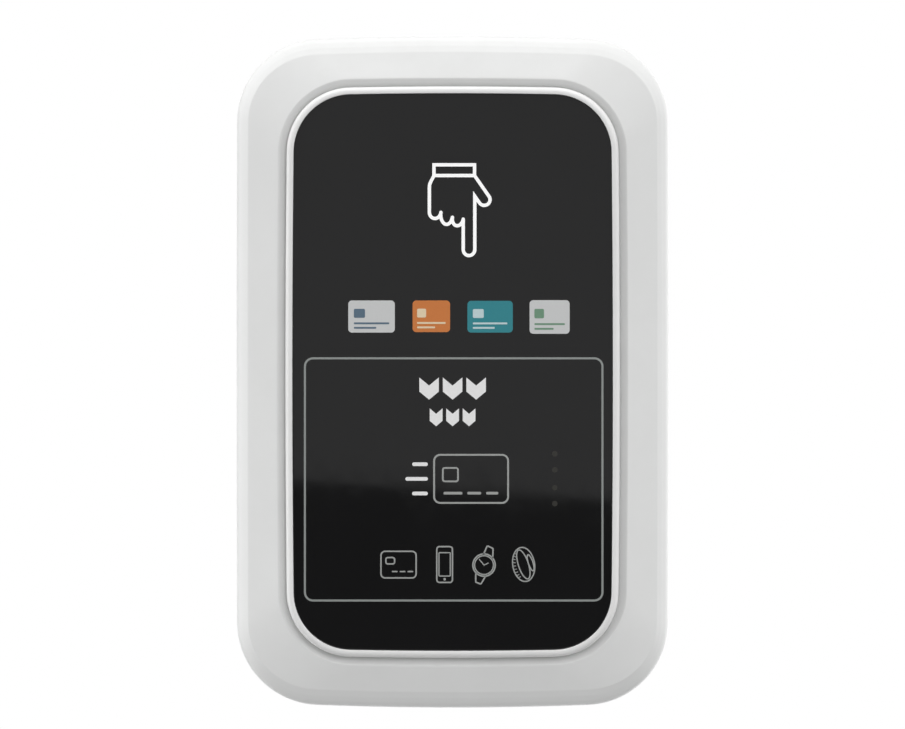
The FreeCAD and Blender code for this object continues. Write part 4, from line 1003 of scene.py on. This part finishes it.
def pale_floor():
    """Round floor well under the object, a very flat cone: points (r cos a, r sin a, z) at two
    radii. It is seen from above only and sends no light back up."""
    turn = np.linspace(0, 2 * math.pi, 96, endpoint=False)
    ring = np.stack([np.cos(turn), np.sin(turn), np.zeros_like(turn)], axis=1)
    rows = [FLOOR_RADIUS * ring + (0, 0, FLOOR_HEIGHT), 0.01 * ring + (0, 0, FLOOR_HEIGHT + MM)]
    floor = mesh_piece("floor", np.stack(rows), wrap_rows=False)
    floor.data.flip_normals()
    paint = shared("floor_paint", plastic, FLOOR_SHADE, 0.85, depth=0.0, dust=0.0)
    tree = paint.node_tree
    output = tree.nodes["Material Output"]
    blend = add_node(tree, "MixShader")
    tree.links.new(add_node(tree, "NewGeometry").outputs["Backfacing"], blend.inputs[0])
    tree.links.new(tree.nodes["Principled BSDF"].outputs[0], blend.inputs[1])
    tree.links.new(add_node(tree, "BsdfTransparent").outputs[0], blend.inputs[2])
    tree.links.new(blend.outputs[0], output.inputs["Surface"])
    floor.data.materials.append(paint)
    floor.visible_diffuse = floor.visible_glossy = floor.visible_shadow = False


def sky():
    """World: plain white to the camera; else a glow of strength s in each bright direction,
    by the soft-stepped cosine between the ray and that direction."""
    world = bpy.data.worlds.new("studio")
    world.use_nodes = True
    tree = world.node_tree
    tree.nodes.clear()
    way = add_node(tree, "TexCoord").outputs["Generated"]
    total = 0.0
    for direction, strength in GLOWS:
        cosine = add_node(tree, "VectorMath", {"operation": "DOT_PRODUCT"})
        tree.links.new(way, cosine.inputs[0])
        cosine.inputs[1].default_value = Vector(direction).normalized()
        near = spread(tree, cosine.outputs["Value"], GLOW_START, 1.0)
        total = number(tree, "ADD", number(tree, "MULTIPLY", near, strength), total)
    seen = add_node(tree, "Background", Color=(1.0, 1.0, 1.0, 1.0))
    around = add_node(tree, "Background", Color=(1.0, 1.0, 1.0, 1.0))
    tree.links.new(total, around.inputs["Strength"])
    blend = add_node(tree, "MixShader")
    tree.links.new(add_node(tree, "LightPath").outputs["Is Camera Ray"], blend.inputs[0])
    tree.links.new(around.outputs[0], blend.inputs[1])
    tree.links.new(seen.outputs[0], blend.inputs[2])
    output = add_node(tree, "OutputWorld")
    tree.links.new(blend.outputs[0], output.inputs["Surface"])
    bpy.context.scene.world = world


class VALIDATOR_OT_stage(bpy.types.Operator):
    """White surroundings, pale floor, camera and the light that the glass mirrors"""
    bl_idname = "validator.stage"
    bl_label = "Stage"

    def execute(self, context):
        scene = context.scene
        sky()
        pale_floor()
        lens = bpy.data.cameras.new("camera")
        lens.sensor_width = 36.0
        lens.lens = lens.sensor_width * CAMERA_DISTANCE / FRAME_WIDTH
        lens.clip_start = 0.05
        camera = bpy.data.objects.new("camera", lens)
        across, up = CAMERA_PLACE
        camera.location = (across, -AIM_LEVEL - CAMERA_DISTANCE, up)
        camera.rotation_euler = (math.pi / 2, 0, 0)
        scene.collection.objects.link(camera)
        scene.camera = camera
        mirrored_light()
        scene.view_settings.view_transform = "Standard"
        return {"FINISHED"}


# ---- Add-on ----

class VALIDATOR_PT_panel(bpy.types.Panel):
    """Sizes, colours and pieces of the ticket validator"""
    bl_idname = "VALIDATOR_PT_panel"
    bl_label = "Ticket validator"
    bl_space_type = "VIEW_3D"
    bl_region_type = "UI"
    bl_category = "Validator"

    def draw(self, context):
        column = self.layout.column(align=True)
        for settings in (context.scene.validator_sizes, context.scene.validator_colours):
            for name in settings.__annotations__:
                column.prop(settings, name)
        for operator in OPERATORS:
            column.operator(operator.bl_idname)


OPERATORS = (
    VALIDATOR_OT_front_cover,
    VALIDATOR_OT_bezel_ring,
    VALIDATOR_OT_front_glass,
    VALIDATOR_OT_tap_zone,
    VALIDATOR_OT_hand,
    VALIDATOR_OT_card_pictures,
    VALIDATOR_OT_icons,
    VALIDATOR_OT_cad_finishes,
    VALIDATOR_OT_stage,
)
CLASSES = (ValidatorSizes, ValidatorColours, *OPERATORS, VALIDATOR_PT_panel)


def register():
    for cls in CLASSES:
        bpy.utils.register_class(cls)
    bpy.types.Scene.validator_sizes = PointerProperty(type=ValidatorSizes)
    bpy.types.Scene.validator_colours = PointerProperty(type=ValidatorColours)


def unregister():
    del bpy.types.Scene.validator_colours
    del bpy.types.Scene.validator_sizes
    for cls in reversed(CLASSES):
        bpy.utils.unregister_class(cls)


def main():
    register()
    for operator in OPERATORS:
        family, name = operator.bl_idname.split(".")
        getattr(getattr(bpy.ops, family), name)()


if __name__ == "__main__":
    main()
